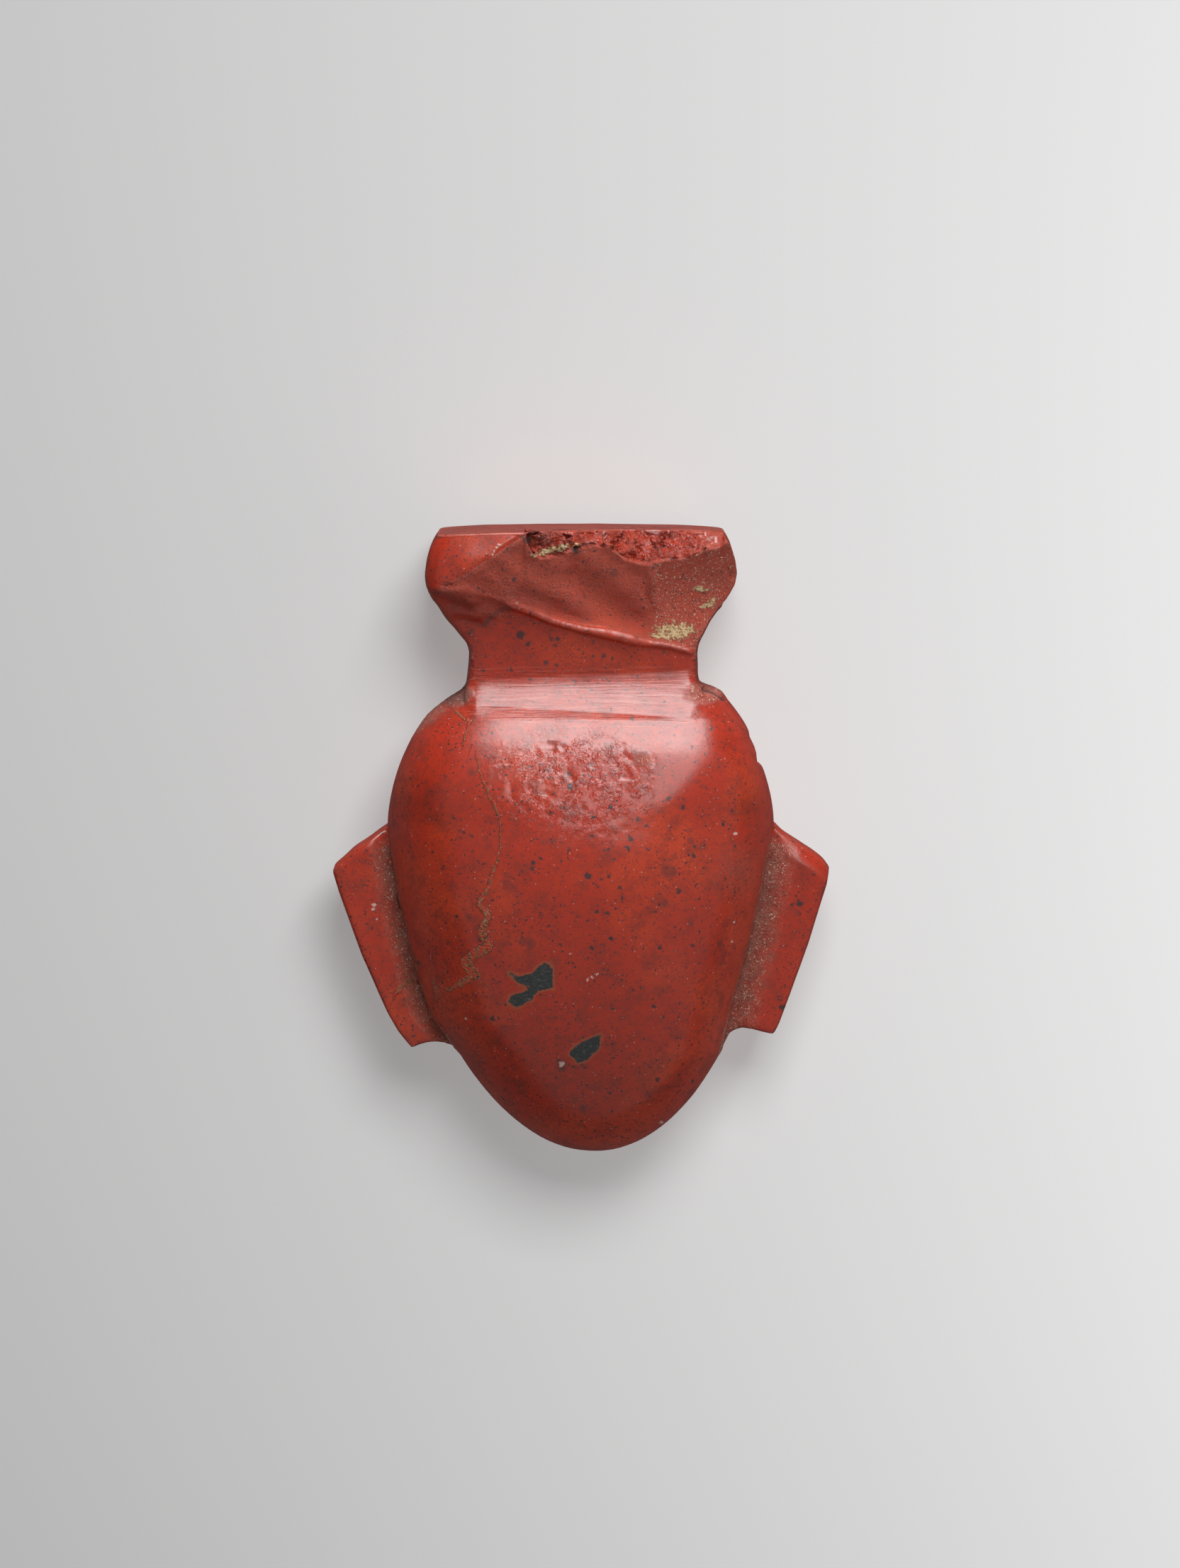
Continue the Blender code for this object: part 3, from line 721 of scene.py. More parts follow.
def nearest_on_line(points, line, closed=False):
    """Distance to a line of corners, the side of it, and how far along it the nearest place is."""
    corners = np.array(line, dtype=float)
    ends = np.roll(corners, -1, axis=0) if closed else corners[1:]
    starts = corners if closed else corners[:-1]
    best = np.full(len(points), 1e9)
    side = np.ones(len(points))
    place = np.zeros(len(points))
    for index, (start, end) in enumerate(zip(starts, ends)):
        step = end - start
        share = np.clip((points - start) @ step / (step @ step), 0.0, 1.0)
        gap = points - start - share[:, None] * step
        distance = np.hypot(gap[:, 0], gap[:, 1])
        nearer = distance < best
        best = np.where(nearer, distance, best)
        turn = step[0] * gap[:, 1] - step[1] * gap[:, 0]
        side = np.where(nearer, np.where(turn < 0.0, -1.0, 1.0), side)
        place = np.where(nearer, index + share, place)
    return best, side, place


def patch(pixels, middle, size, soft, turn):
    """1 inside a rounded patch of the photograph, fading out over its edge."""
    across = pixels[:, 0] - middle[0]
    down = pixels[:, 1] - middle[1]
    angle = math.radians(turn)
    along_patch = (across * math.cos(angle) + down * math.sin(angle)) / size[0]
    over_patch = (down * math.cos(angle) - across * math.sin(angle)) / size[1]
    return 1.0 - ease(1.0 - soft, 1.0 + soft, np.hypot(along_patch, over_patch))


def patches(pixels, table):
    """The strongest of several patches at each point."""
    return np.maximum.reduce([strength * patch(pixels, *shape) for strength, *shape in table])


def wave(points, where, scale, octaves):
    """Noise between about -1 and 1 at the points where it is wanted."""
    value = np.zeros(len(points))
    for index in np.nonzero(where)[0]:
        spot = Vector(points[index] * scale)
        value[index] = noise.fractal(spot, 1.0, 2.0, octaves)
    return value


def flakes(points, where, size):
    """Small tilted planes, as a crushed edge breaks."""
    value = np.zeros(len(points))
    for index in np.nonzero(where)[0]:
        spot = Vector(points[index] / size)
        near = noise.voronoi(spot)[1][0]
        tilt = noise.cell_vector(near * TILT_SHUFFLE) - Vector((0.5, 0.5, 0.5))
        value[index] = (spot - near).dot(tilt) * 2.0
    return value


def broken_marks(x, y, z, normals):
    """Where a scar has taken stone away, and where the rim is crushed."""
    in_reach = (y > SCAR_ABOVE) & (z > SCAR_IN_FRONT)
    lost = np.where(in_reach, front_surface(x, np.minimum(y, TOP)) - z, 0.0)
    on_top = ease(*CRUSH_TOP_EDGE, y) * ease(*CRUSH_TOP_PLANE, normals[:, 1])
    crushed = (between(*CRUSH_MARK_SPAN, x) * ease(*CRUSH_MARK_FOOT, y - along(CRUSH_FOOT, x))
               * ease(*CRUSH_MARK_DEPTH, z) * (1.0 - on_top))
    broken = ease(*LOST_STONE, lost) * (1.0 - crushed) * (1.0 - ease(*TOP_PLANE, normals[:, 1]))
    return broken * ease(*FACES_FRONT_WELL, normals[:, 2]), crushed


def lug_dirt(x, y, z):
    """Dirt in the hollow between each lug and the body."""
    dirt = np.zeros(len(x))
    for side, width in HOLLOW_WIDTH.items():
        out = side * (x - lean(y)) - half_width(side, y)
        shares = [width * share for share in LUG_DIRT_SHARES]
        across = between(*LUG_DIRT_INSIDE, *shares, out)
        here = across * between(*LUG_DIRT_HEIGHT, y) * between(*LUG_DIRT_DEPTH, z)
        dirt = np.maximum(dirt, here)
    return dirt


def dark_piece_distance(pixels):
    """Millimetres from the nearer dark piece's edge, below 0 inside it."""
    nearest = np.full(len(pixels), 1e9)
    for outline in (DARK_PIECE_UPPER, DARK_PIECE_LOWER):
        distance = nearest_on_line(pixels, outline, closed=True)[0]
        signed = np.where(inside_lines(pixels, outline), -distance, distance)
        nearest = np.minimum(nearest, signed)
    return np.clip(nearest * MM_PER_PIXEL, -MARK_REACH, MARK_REACH)


def vein_marks(pixels):
    """Millimetres across the nearest vein, and its half width there."""
    across = np.full(len(pixels), MARK_REACH)
    width = np.zeros(len(pixels))
    best = np.full(len(pixels), 1e9)
    for line, widths in VEINS:
        distance, side, place = nearest_on_line(pixels, line)
        here = np.interp(place, np.arange(len(widths)), widths)
        nearer = distance < best
        best = np.where(nearer, distance, best)
        across = np.where(nearer, side * distance * MM_PER_PIXEL, across)
        width = np.where(nearer, here * (distance < VEIN_REACH), width)
    return np.clip(across, -MARK_REACH, MARK_REACH), width


def surface_marks(points, normals):
    """Where the stone is broken, crushed, pitted, dirty, veined or set with dark pieces, with dark
    pockets and painted shade in the slit and the crease.
    """
    pixels = photo_pixels(points)
    x, y, z = points[:, 0], points[:, 1], points[:, 2] - PARTING
    front = ease(*FACES_FRONT, normals[:, 2])
    broken, crushed = broken_marks(x, y, z, normals)
    pitted = patch(pixels, *PITTED_PATCH) * (1.0 - ease(*PITTED_END, pixels[:, 0]))
    streaked = between(*STREAK_HEIGHT, y) * (1.0 - ease(*STREAK_HALF_WIDTH, np.abs(x)))
    dirt = np.maximum(lug_dirt(x, y, z), patches(pixels, DIRT_PATCHES))
    slit = 1.0 - ease(*SLIT_SHADE_REACH, nearest_on_line(pixels, LEDGE_SLIT)[0])
    crease = 1.0 - ease(*CREASE_SHADE_REACH, nearest_on_line(pixels, RIDGE_CREASE)[0])
    # Painted shade: the ledge slit and the ridge's crease are darkened in colour, along with the dark
    # pockets
    dark_pockets_and_painted_crevice_shade = np.maximum.reduce((patches(pixels, DARK_POCKET_PATCHES), slit, CREASE_STRENGTH * crease))
    steep = 1.0 - ease(*STEEP, np.abs(normals[:, 2]))
    vein_across, vein_width = vein_marks(pixels)
    return {
        "broken": broken,
        "crushed": crushed,
        "pitted": pitted * front,
        "streaked": streaked * front,
        "smooth_top": ease(*FACES_TOP, normals[:, 1]),
        "dulled": steep * (y < DULLED_BELOW),
        "dirt": dirt * front,
        "grainy": broken * ease(*GRAINY_FROM, x),
        "ochre": patches(pixels, OCHRE_PATCHES) * front,
        "dark_pockets_and_painted_crevice_shade": dark_pockets_and_painted_crevice_shade * front,
        "dark_piece": np.where(front > 0.5, dark_piece_distance(pixels), MARK_REACH),
        "vein_across": vein_across,
        "vein_width": vein_width * front,
    }


def fold(pixels, line, rise, width, fade):
    """A wave in the break: raised above the line and sunk below it, dying out at its ends."""
    distance, side, place = nearest_on_line(pixels, line)
    above = -side * distance / width
    last = len(line) - 1.0
    return rise * above * np.exp(0.5 - 0.5 * above ** 2) * between(0.0, fade, last - fade, last, place)


def crush_relief(points, where):
    """Flakes of the crushed edge, sunk so that hardly any stands proud of the smooth form."""
    chipped = FLAKE_GRIT * wave(points, where, *GRIT_WAVE)
    for rise, size, shift in FLAKES:
        chipped = chipped + rise * flakes(points + shift, where, size)
    return np.minimum(CRUSH_GAIN * chipped - CRUSH_SINK, CRUSH_PROUD)


def break_relief(points, where):
    """Grain, slanting bands and one line of hackles on the scars."""
    grain = BREAK_GRAIN * wave(points * GRAIN_STRETCH, where, *GRAIN_WAVE)
    over_bands = points[:, 0] * math.sin(BAND_SLANT) + points[:, 1] * math.cos(BAND_SLANT)
    wander = BAND_WANDER * wave(points, where, *BAND_WAVE)
    bands = BAND_RISE * np.sin(2.0 * math.pi * over_bands / BAND_WIDTH + wander)
    torn = HACKLE_RISE * wave(points * HACKLE_STRETCH, where, *HACKLE_WAVE)
    hackles = torn * between(*HACKLE_SPAN, over_bands - HACKLE_LINE)
    return grain + (1.0 - ease(*BAND_END, points[:, 0])) * (bands + hackles)


def pit_relief(points, where):
    """Pits of the upper dome, deeper in some places than in others."""
    uneven = ease(*UNEVEN_LEVELS, wave(points + UNEVEN_SHIFT, where, *UNEVEN_WAVE))
    return PIT_GAIN * uneven * np.minimum(wave(points, where, *PIT_WAVE), PIT_PROUD)


def relief(points, marks):
    """How far the real surface stands out from the smooth form, in millimetres."""
    pixels = photo_pixels(points)
    on_front = points[:, 2] > PARTING
    height = SWELL * wave(points, points[:, 2] > OFF_FLOOR, *SWELL_WAVE)
    for mark, form in (("crushed", crush_relief), ("broken", break_relief), ("pitted", pit_relief)):
        height += marks[mark] * form(points, marks[mark] > MARKED)
    for line, rise, width, fade in FOLDS:
        height += fold(pixels, line, rise, width, fade) * (marks["streaked"] < 0.5) * on_front
    off_ridge = points[:, 1] - along(RIDGE, points[:, 0])
    lip = np.exp(-(off_ridge / LIP_WIDTH) ** 2) * between(*LIP_SPAN, points[:, 0])
    height += LIP_RISE * lip * (points[:, 2] > LIP_ABOVE)
    for mark, (rise, grit, *fineness) in CRUST_RISE.items():
        height += marks[mark] * (rise + grit * wave(points, marks[mark] > MARKED, *fineness))
    slit = nearest_on_line(pixels, LEDGE_SLIT)[0]
    height -= SLIT_DEPTH * (1.0 - ease(*SLIT_WIDTH, slit)) * on_front
    from_nick = (points - NICK_MIDDLE) / NICK_SIZE
    return height - NICK_DEPTH * np.exp(-(from_nick ** 2).sum(axis=1))


def bending(mesh, points, normals):
    """How sharply the surface bends at each point, over 0 on arrises and below it in creases."""
    pairs = np.empty(len(mesh.edges) * 2, dtype=np.int64)
    mesh.edges.foreach_get("vertices", pairs)
    first, second = pairs.reshape(-1, 2).T
    step = points[second] - points[first]
    length2 = np.maximum((step ** 2).sum(axis=1), 1e-6)
    total = np.zeros(len(points))
    count = np.zeros(len(points))
    for here, away in ((first, step), (second, -step)):
        bend = -2.0 * (away * normals[here]).sum(axis=1) / length2
        np.add.at(total, here, np.clip(bend, -BEND_LIMIT, BEND_LIMIT))
        np.add.at(count, here, 1.0)
    bend = total / np.maximum(count, 1.0)
    spread = bend.copy()
    np.add.at(spread, first, bend[second])
    np.add.at(spread, second, bend[first])
    return spread / (count + 1.0)


def read_points(mesh):
    points = np.empty(len(mesh.vertices) * 3)
    normals = np.empty(len(mesh.vertices) * 3)
    mesh.vertices.foreach_get("co", points)
    mesh.vertices.foreach_get("normal", normals)
    return points.reshape(-1, 3), normals.reshape(-1, 3)


def finish_surface(amulet):
    """Press the relief into the mesh, and write the marks that the stone's finish follows, among them
    painted shade in the hollows and a painted highlight on the arrises.
    """
    mesh = amulet.data
    points, normals = read_points(mesh)
    marks = surface_marks(points, normals)
    points = points + normals * relief(points, marks)[:, None]
    points[:, 2] = np.maximum(points[:, 2], 0.0)
    mesh.vertices.foreach_set("co", points.ravel())
    mesh.update()
    bend = bending(mesh, *read_points(mesh))
    shaded = patches(photo_pixels(points), SHADED_PATCHES) * (normals[:, 2] > 0.0)
    # Arrises that bend outward make the worn mark: lighter pink that is partly real wear and partly a
    # painted highlight
    marks["worn"] = ease(*BEND_SEEN, bend)
    # Painted shade: inward creases and the shaded patches make the hollow mark, which darkens the
    # stone's colour
    marks["hollow"] = np.maximum(ease(*BEND_SEEN, -bend), shaded)
    for name, value in marks.items():
        layer = mesh.attributes.new(name, "FLOAT", "POINT")
        layer.data.foreach_set("value", value.astype(np.float32))
    mesh.transform(Matrix.Scale(MM, 4))
    mesh.update()


def make_amulet():
    amulet = new_object("carved_jasper", body_shape())
    join_lug(amulet, lug_shape(-1, LEFT_LUG_TOP, LEFT_LUG_SIDE, LEFT_LUG_FOOT))
    join_lug(amulet, lug_shape(1, RIGHT_LUG_TOP, RIGHT_LUG_SIDE, RIGHT_LUG_FOOT))
    shape = bmesh.new()
    shape.from_mesh(amulet.data)
    for corner in shape.verts:
        corner.co.z = max(corner.co.z, 0.0)
    bmesh.ops.triangulate(shape, faces=[face for face in shape.faces if len(face.verts) > 4])
    shape.to_mesh(amulet.data)
    shape.free()
    finish_surface(amulet)
    amulet.data.shade_smooth()
    return amulet


# Stone


class Finish:
    """Builds one material's nodes. Lengths in its patterns are millimetres."""

    def __init__(self, name):
        self.material = bpy.data.materials.new(name)
        self.material.use_nodes = True
        self.tree = self.material.node_tree
        self.shader = self.tree.nodes["Principled BSDF"]
        place = self.node("ShaderNodeTexCoord").outputs["Object"]
        self.place = self.vector("SCALE", place, scale=1.0 / MM)

    def as_photographed(self, place):
        """Flatten a place onto the photograph's plane, in millimetres from its middle."""
        level = self.vector("SUBTRACT", place, (0.0, 0.0, PARTING))
        rows = ((1.0, 0.0, 0.0), (0.0, math.cos(VIEW_TILT), -math.sin(VIEW_TILT)))
        flat = self.node("ShaderNodeCombineXYZ")
        for socket, row in zip(flat.inputs, rows):
            part = self.node("ShaderNodeVectorMath", operation="DOT_PRODUCT")
            self.put(part.inputs[0], level)
            self.put(part.inputs[1], row)
            self.put(socket, part.outputs["Value"])
        return flat.outputs["Vector"]

    def node(self, kind, inputs=None, **settings):
        item = self.tree.nodes.new(kind)
        for name, value in settings.items():
            setattr(item, name, value)
        for name, value in (inputs or {}).items():
            self.put(item.inputs[name], value)
        return item

    def put(self, socket, value):
        if isinstance(value, bpy.types.NodeSocket):
            self.tree.links.new(value, socket)
        else:
            socket.default_value = value

    def vector(self, operation, first, second=None, scale=None):
        item = self.node("ShaderNodeVectorMath", operation=operation)
        self.put(item.inputs[0], first)
        if second is not None:
            self.put(item.inputs[1], second)
        if scale is not None:
            self.put(item.inputs["Scale"], scale)
        return item.outputs["Vector"]

    def math(self, operation, first, second=0.0, third=0.0):
        item = self.node("ShaderNodeMath", operation=operation)
        for socket, value in zip(item.inputs, (first, second, third)):
            self.put(socket, value)
        return item.outputs[0]

    def ease(self, value, low, high):
        """0 below low and 1 above high, or the other way round where low is the larger."""
        item = self.node("ShaderNodeMapRange", interpolation_type="SMOOTHSTEP")
        self.put(item.inputs["Value"], value)
        self.put(item.inputs["From Min"], low)
        self.put(item.inputs["From Max"], high)
        return item.outputs["Result"]

    def noise(self, size, detail=2.0, roughness=0.5, place=None, stretch=None):
        place = self.place if place is None else place
        if stretch is not None:
            place = self.vector("MULTIPLY", place, stretch)
        item = self.node("ShaderNodeTexNoise")
        self.put(item.inputs["Vector"], place)
        self.put(item.inputs["Scale"], 1.0 / size)
        self.put(item.inputs["Detail"], detail)
        self.put(item.inputs["Roughness"], roughness)
        return item.outputs["Fac"]

    def pattern(self, name, **where):
        """Noise from the table of patterns, faded in between its two levels."""
        size, detail, roughness, low, high = PATTERNS[name]
        return self.ease(self.noise(size, detail, roughness, **where), low, high)

    def pushed(self, place, scale, detail, amount):
        """A place pushed about at random, so that what is drawn there has a ragged edge."""
        drift = self.node("ShaderNodeTexNoise", {"Vector": self.place, "Scale": scale,
                                                 "Detail": detail})
        push = self.vector("SUBTRACT", drift.outputs["Color"], (0.5, 0.5, 0.5))
        return self.vector("ADD", place, self.vector("SCALE", push, scale=amount))

    def mark(self, name):
        return self.node("ShaderNodeAttribute", attribute_name=name).outputs["Fac"]

    def times(self, first, second):
        return self.math("MULTIPLY", first, second)

    def around(self, value):
        """Noise moved so that it swings to both sides of 0."""
        return self.math("SUBTRACT", value, 0.5)

    def blend(self, share, first, second):
        item = self.node("ShaderNodeMix", data_type="RGBA")
        self.put(item.inputs[0], share)
        self.put(item.inputs[6], first)
        self.put(item.inputs[7], second)
        return item.outputs[2]

    def tint(self, base, share, strength, shade):
        """Lay a shade over the base, this strongly where the share is 1."""
        return self.blend(self.times(share, strength), base, shade)

    def named_specks(self, place, specks):
        """Spots at known places of the photograph, given in its pixels."""
        total = None
        for across, down, radius in specks:
            middle = ((across - MIDDLE_PIXEL[0]) * MM_PER_PIXEL,
                      (MIDDLE_PIXEL[1] - down) * MM_PER_PIXEL, 0.0)
            item = self.node("ShaderNodeVectorMath", operation="DISTANCE")
            self.put(item.inputs[0], place)
            self.put(item.inputs[1], middle)
            size = radius * MM_PER_PIXEL
            spot = self.ease(item.outputs["Value"], size, 0.5 * size)
            total = spot if total is None else self.math("MAXIMUM", total, spot)
        return total

    def specks(self, place, cell, share, biggest):
        """Spots scattered one to a cell, with random sizes up to the biggest radius."""
        item = self.node("ShaderNodeTexVoronoi", {"Vector": place, "Scale": 1.0 / cell})
        draw = self.node("ShaderNodeSeparateColor", {"Color": item.outputs["Color"]})
        chosen = self.math("LESS_THAN", draw.outputs[0], share)
        size = self.times(draw.outputs[1], draw.outputs[1])
        size = self.math("MULTIPLY_ADD", size, (1.0 - SMALLEST_SPECK) * biggest / cell,
                         SMALLEST_SPECK * biggest / cell)
        spot = self.ease(item.outputs["Distance"], size, self.times(size, SPECK_CORE))
        return self.times(spot, chosen)

    def chips(self, place, size):
        """Tilted flakes of about this size, each with its own slope; heights in millimetres."""
        item = self.node("ShaderNodeTexVoronoi", {"Vector": place, "Scale": 1.0 / size})
        from_middle = self.vector("SUBTRACT", place, item.outputs["Position"])
        slope = self.vector("SUBTRACT", item.outputs["Color"], (0.5, 0.5, 0.5))
        drop = self.node("ShaderNodeVectorMath", operation="DOT_PRODUCT")
        self.put(drop.inputs[0], from_middle)
        self.put(drop.inputs[1], slope)
        return drop.outputs["Value"]


def colour(red, green, blue):
    return (red, green, blue, 1.0)


JASPER_RED = colour(0.53, 0.036, 0.012)
JASPER_ORANGE = colour(0.62, 0.056, 0.015)
JASPER_BROWN = colour(0.27, 0.034, 0.020)
SPECK_DARK = colour(0.032, 0.029, 0.032)
SPECK_BROWN = colour(0.11, 0.036, 0.028)
PALE_GRAIN = colour(0.72, 0.50, 0.43)
DIRT_BROWN = colour(0.44, 0.17, 0.115)
DIRT_DARK = colour(0.05, 0.035, 0.026)
DIRT_GRAIN = colour(0.74, 0.56, 0.40)
OCHRE = colour(0.92, 0.68, 0.36)
RUST = colour(0.40, 0.13, 0.045)
VEIN_TAN = colour(0.60, 0.30, 0.14)
DARK_PIECE = colour(0.026, 0.029, 0.030)
DARK_PIECE_GREY = colour(0.10, 0.105, 0.10)
CHIP_PINK = colour(0.52, 0.15, 0.12)
# Grey-pink of the painted sheen on the top face
TOP_PAINTED_SHEEN = colour(0.56, 0.33, 0.29)
BREAK_RED = colour(0.78, 0.115, 0.055)
# Pale pink of wear on streaks and arrises, and of a painted highlight on the arrises
WORN_AND_HIGHLIGHT_PINK = colour(0.62, 0.20, 0.15)
STONE_IOR = 1.8

# Patterns of the stone: size in millimetres, detail, roughness, and the levels it fades between
PATTERNS = {
    "broad_clouds": (7.0, 3.0, 0.55, 0.42, 0.68),
    "mottle": (1.5, 5.0, 0.68, 0.46, 0.68),
    "grain": (0.17, 2.0, 0.6, 0.53, 0.66),
    "small_clouds": (0.55, 4.0, 0.7, 0.52, 0.66),
    "crowding": (2.6, 2.0, 0.5, 0.36, 0.60),
    "pitting": (1.6, 3.0, 0.5, 0.36, 0.56),
    "bruises": (0.35, 4.0, 0.65, 0.42, 0.66),
    "dust": (0.15, 2.0, 0.6, 0.50, 0.62),
    "edge_patchiness": (0.5, 3.0, 0.5, 0.30, 0.60),
    "fibres": (0.35, 5.0, 0.7, 0.45, 0.72),
    "scratches": (0.22, 3.0, 0.7, 0.60, 0.70),
    "islands": (0.36, 3.0, 0.5, 0.48, 0.54),
    "film": (0.9, 4.0, 0.65, 0.25, 0.62),
    "dark_grit": (0.15, 2.0, 0.6, 0.55, 0.68),
}

# Specks scattered one to a cell: cell in millimetres, share of the cells that hold one, biggest
# radius in millimetres, how much more share where specks crowd, strength and shade
SPECKS = {
    "faint": (2.2, 0.30, 0.6, 0.0, 0.45, SPECK_BROWN),
    "tiny": (0.18, 0.25, 0.085, 0.5, 0.75, SPECK_DARK),
    "small": (0.29, 0.38, 0.125, 0.6, 0.92, SPECK_DARK),
    "medium": (0.80, 0.40, 0.21, 0.0, 0.88, SPECK_DARK),
    "pale": (0.30, 0.26, 0.07, 0.0, 0.60, PALE_GRAIN),
}
SAND = (0.20, 0.85, 0.10)
SMALLEST_SPECK = 0.4
SPECK_CORE = 0.55

# Pushes that fray the drawn marks: waves to a millimetre, detail, and amount in millimetres
FRAYING = ((2.2, 3.0, 0.45), (6.5, 2.0, 0.34))
SCRATCH_STRETCH = (0.045, 1.0, 0.6)
FIBRE_STRETCH = (1.0, 3.2, 1.0)
PIECE_SCRATCH_STRETCH = (0.35, 2.6, 1.0)

# Levels that a pattern or a mark fades between, falling where the first is the larger
PALE_LINES = (0.52, 0.64)
DARK_LINES = (0.46, 0.36)
PIECE_RIM = (0.32, 0.04)
PIECE_EDGE = (0.06, -0.02)
VEIN_EDGE = (0.05, -0.05)
VEIN_END = (0.01, 0.05)
VEIN_RUST = (0.36, 0.50)
VEIN_CRUMBS = (0.57, 0.69)
SANDY = (0.05, 0.6)
CRUST_CORE = (0.42, 0.62)
CRUST_EDGE = (0.02, 0.2)
CRUST_OCHRE = (0.36, 0.56)
POCKET_AND_CREVICE_CORE = (0.30, 0.52)

# Polish: its base and spread, how dull it gets at most, and how calm the bump is on top
POLISH_BASE = 0.145
POLISH_SPREAD = 0.14
DULLEST = 0.9
TOP_CALM = -0.85


def clouded_red(stone, ragged):
    """The stone's own red, lighter where it is broken."""
    red = stone.blend(stone.pattern("broad_clouds"), JASPER_RED, JASPER_ORANGE)
    red = stone.tint(red, stone.pattern("mottle"), 0.62, JASPER_BROWN)
    red = stone.tint(red, stone.pattern("grain"), 0.5, JASPER_BROWN)
    red = stone.tint(red, stone.pattern("small_clouds", place=ragged), 0.4, JASPER_BROWN)
    return stone.tint(red, stone.mark("broken"), 0.55, BREAK_RED)


def speckled(stone, red, ragged):
    """Specks over the red, and where the medium and the pale ones are."""
    seen = stone.as_photographed(ragged)
    crowd = stone.pattern("crowding")
    known = {"faint": FAINT_SPECKS, "medium": DARK_SPECKS}
    spots = {}
    for name, (cell, share, biggest, crowding, strength, shade) in SPECKS.items():
        chance = stone.math("MULTIPLY_ADD", crowd, crowding, share)
        place = stone.place if name == "pale" else ragged
        spots[name] = stone.specks(place, cell, chance, biggest)
        if name in known:
            spots[name] = stone.math("MAXIMUM", spots[name], stone.named_specks(seen, known[name]))
        red = stone.tint(red, spots[name], strength, shade)
    red = stone.blend(stone.named_specks(seen, PALE_SPECKS), red, PALE_GRAIN)
    return red, spots["medium"], spots["pale"]


def wear_and_painted_light(stone, red, lines, polish):
    """Bruises, dust, scratches, worn arrises with a painted highlight, painted shade and a painted top
    sheen.
    """
    streaked = stone.mark("streaked")
    red = stone.tint(red, stone.times(stone.mark("crushed"), stone.pattern("bruises")), 0.4,
                     CHIP_PINK)
    red = stone.tint(red, stone.times(stone.mark("broken"), stone.pattern("dust")), 0.36, CHIP_PINK)
    red = stone.tint(red, stone.times(streaked, stone.ease(lines, *PALE_LINES)), 0.45, WORN_AND_HIGHLIGHT_PINK)
    red = stone.tint(red, stone.times(streaked, stone.ease(lines, *DARK_LINES)), 0.6, JASPER_BROWN)
    # Arrises lighter pink: partly real wear, partly a painted highlight
    red = stone.tint(red, stone.times(stone.mark("worn"), stone.pattern("edge_patchiness")), 0.5, WORN_AND_HIGHLIGHT_PINK)
    # Painted shade: the hollow mark darkens creases and the shaded patches
    red = stone.tint(red, stone.mark("hollow"), 0.4, JASPER_BROWN)
    # Painted reflection: a patchy grey-pink sheen laid into the top face's colour
    painted_top_sheen = stone.times(stone.mark("smooth_top"), stone.ease(polish, 0.0, 1.0))
    return stone.tint(red, painted_top_sheen, 0.42, TOP_PAINTED_SHEEN)


def with_dark_pieces(stone, red, ragged):
    """The two dark pieces, fibrous and scratched, each in a rusty rim."""
    uneven = stone.times(stone.around(stone.noise(0.5, 4.0)), 0.55)
    edge = stone.math("ADD", stone.mark("dark_piece"), uneven)
    red = stone.tint(red, stone.ease(edge, *PIECE_RIM), 0.55, RUST)
    fibres = stone.pattern("fibres", place=ragged, stretch=FIBRE_STRETCH)
    piece = stone.blend(fibres, DARK_PIECE, DARK_PIECE_GREY)
    scratches = stone.pattern("scratches", place=ragged, stretch=PIECE_SCRATCH_STRETCH)
    piece = stone.tint(piece, scratches, 0.5, PALE_GRAIN)
    return stone.blend(stone.ease(edge, *PIECE_EDGE), red, piece)


def with_vein(stone, red, crumbs):
    """The winding vein of tan and rusty crumbs, broken by islands of red, and where it is."""
    winding = stone.times(stone.around(stone.noise(0.5, 5.0, 0.7)), 0.8)
    across = stone.math("ABSOLUTE", stone.math("ADD", stone.mark("vein_across"), winding))
    width = stone.times(stone.mark("vein_width"), stone.math("ADD", stone.noise(0.5, 3.0), 0.35))
    vein = stone.times(stone.ease(stone.math("SUBTRACT", across, width), *VEIN_EDGE),
                       stone.ease(width, *VEIN_END))
    shade = stone.blend(stone.ease(crumbs, *VEIN_RUST), DIRT_DARK, RUST)
    shade = stone.blend(stone.ease(crumbs, *VEIN_CRUMBS), shade, VEIN_TAN)
    shade = stone.blend(stone.pattern("islands"), shade, JASPER_ORANGE)
    return stone.blend(vein, red, shade), vein


def with_dirt_and_painted_crevice_shade(stone, red, ragged, crumbs):
    """Brown film, grit and sand in the hollows, ochre crusts, dark pockets and painted shade in the
    slit and crease, and where crusts are.
    """
    dirt, ochre = stone.mark("dirt"), stone.mark("ochre")
    red = stone.tint(red, stone.times(dirt, stone.pattern("film")), 0.7, DIRT_BROWN)
    red = stone.tint(red, stone.times(stone.pattern("dark_grit"), dirt), 0.7, DIRT_DARK)
    sandy = stone.ease(stone.math("MAXIMUM", dirt, stone.mark("grainy")), *SANDY)
    sand = stone.times(stone.specks(ragged, *SAND), sandy)
    red = stone.tint(red, sand, 0.95, DIRT_GRAIN)
    patchy = stone.times(stone.around(stone.noise(0.45, 5.0, 0.7)), 2.8)
    crust = stone.times(stone.ease(stone.math("ADD", ochre, patchy), *CRUST_CORE),
                        stone.ease(ochre, *CRUST_EDGE))
    red = stone.blend(crust, red, stone.blend(stone.ease(crumbs, *CRUST_OCHRE), RUST, OCHRE))
    # Dark pockets, and painted shade in the ledge slit and the ridge's crease
    dark_pockets_and_painted_crevice_shade = stone.times(stone.mark("dark_pockets_and_painted_crevice_shade"), stone.ease(crumbs, *POCKET_AND_CREVICE_CORE))
    return stone.tint(red, dark_pockets_and_painted_crevice_shade, 0.85, DARK_PIECE), crust


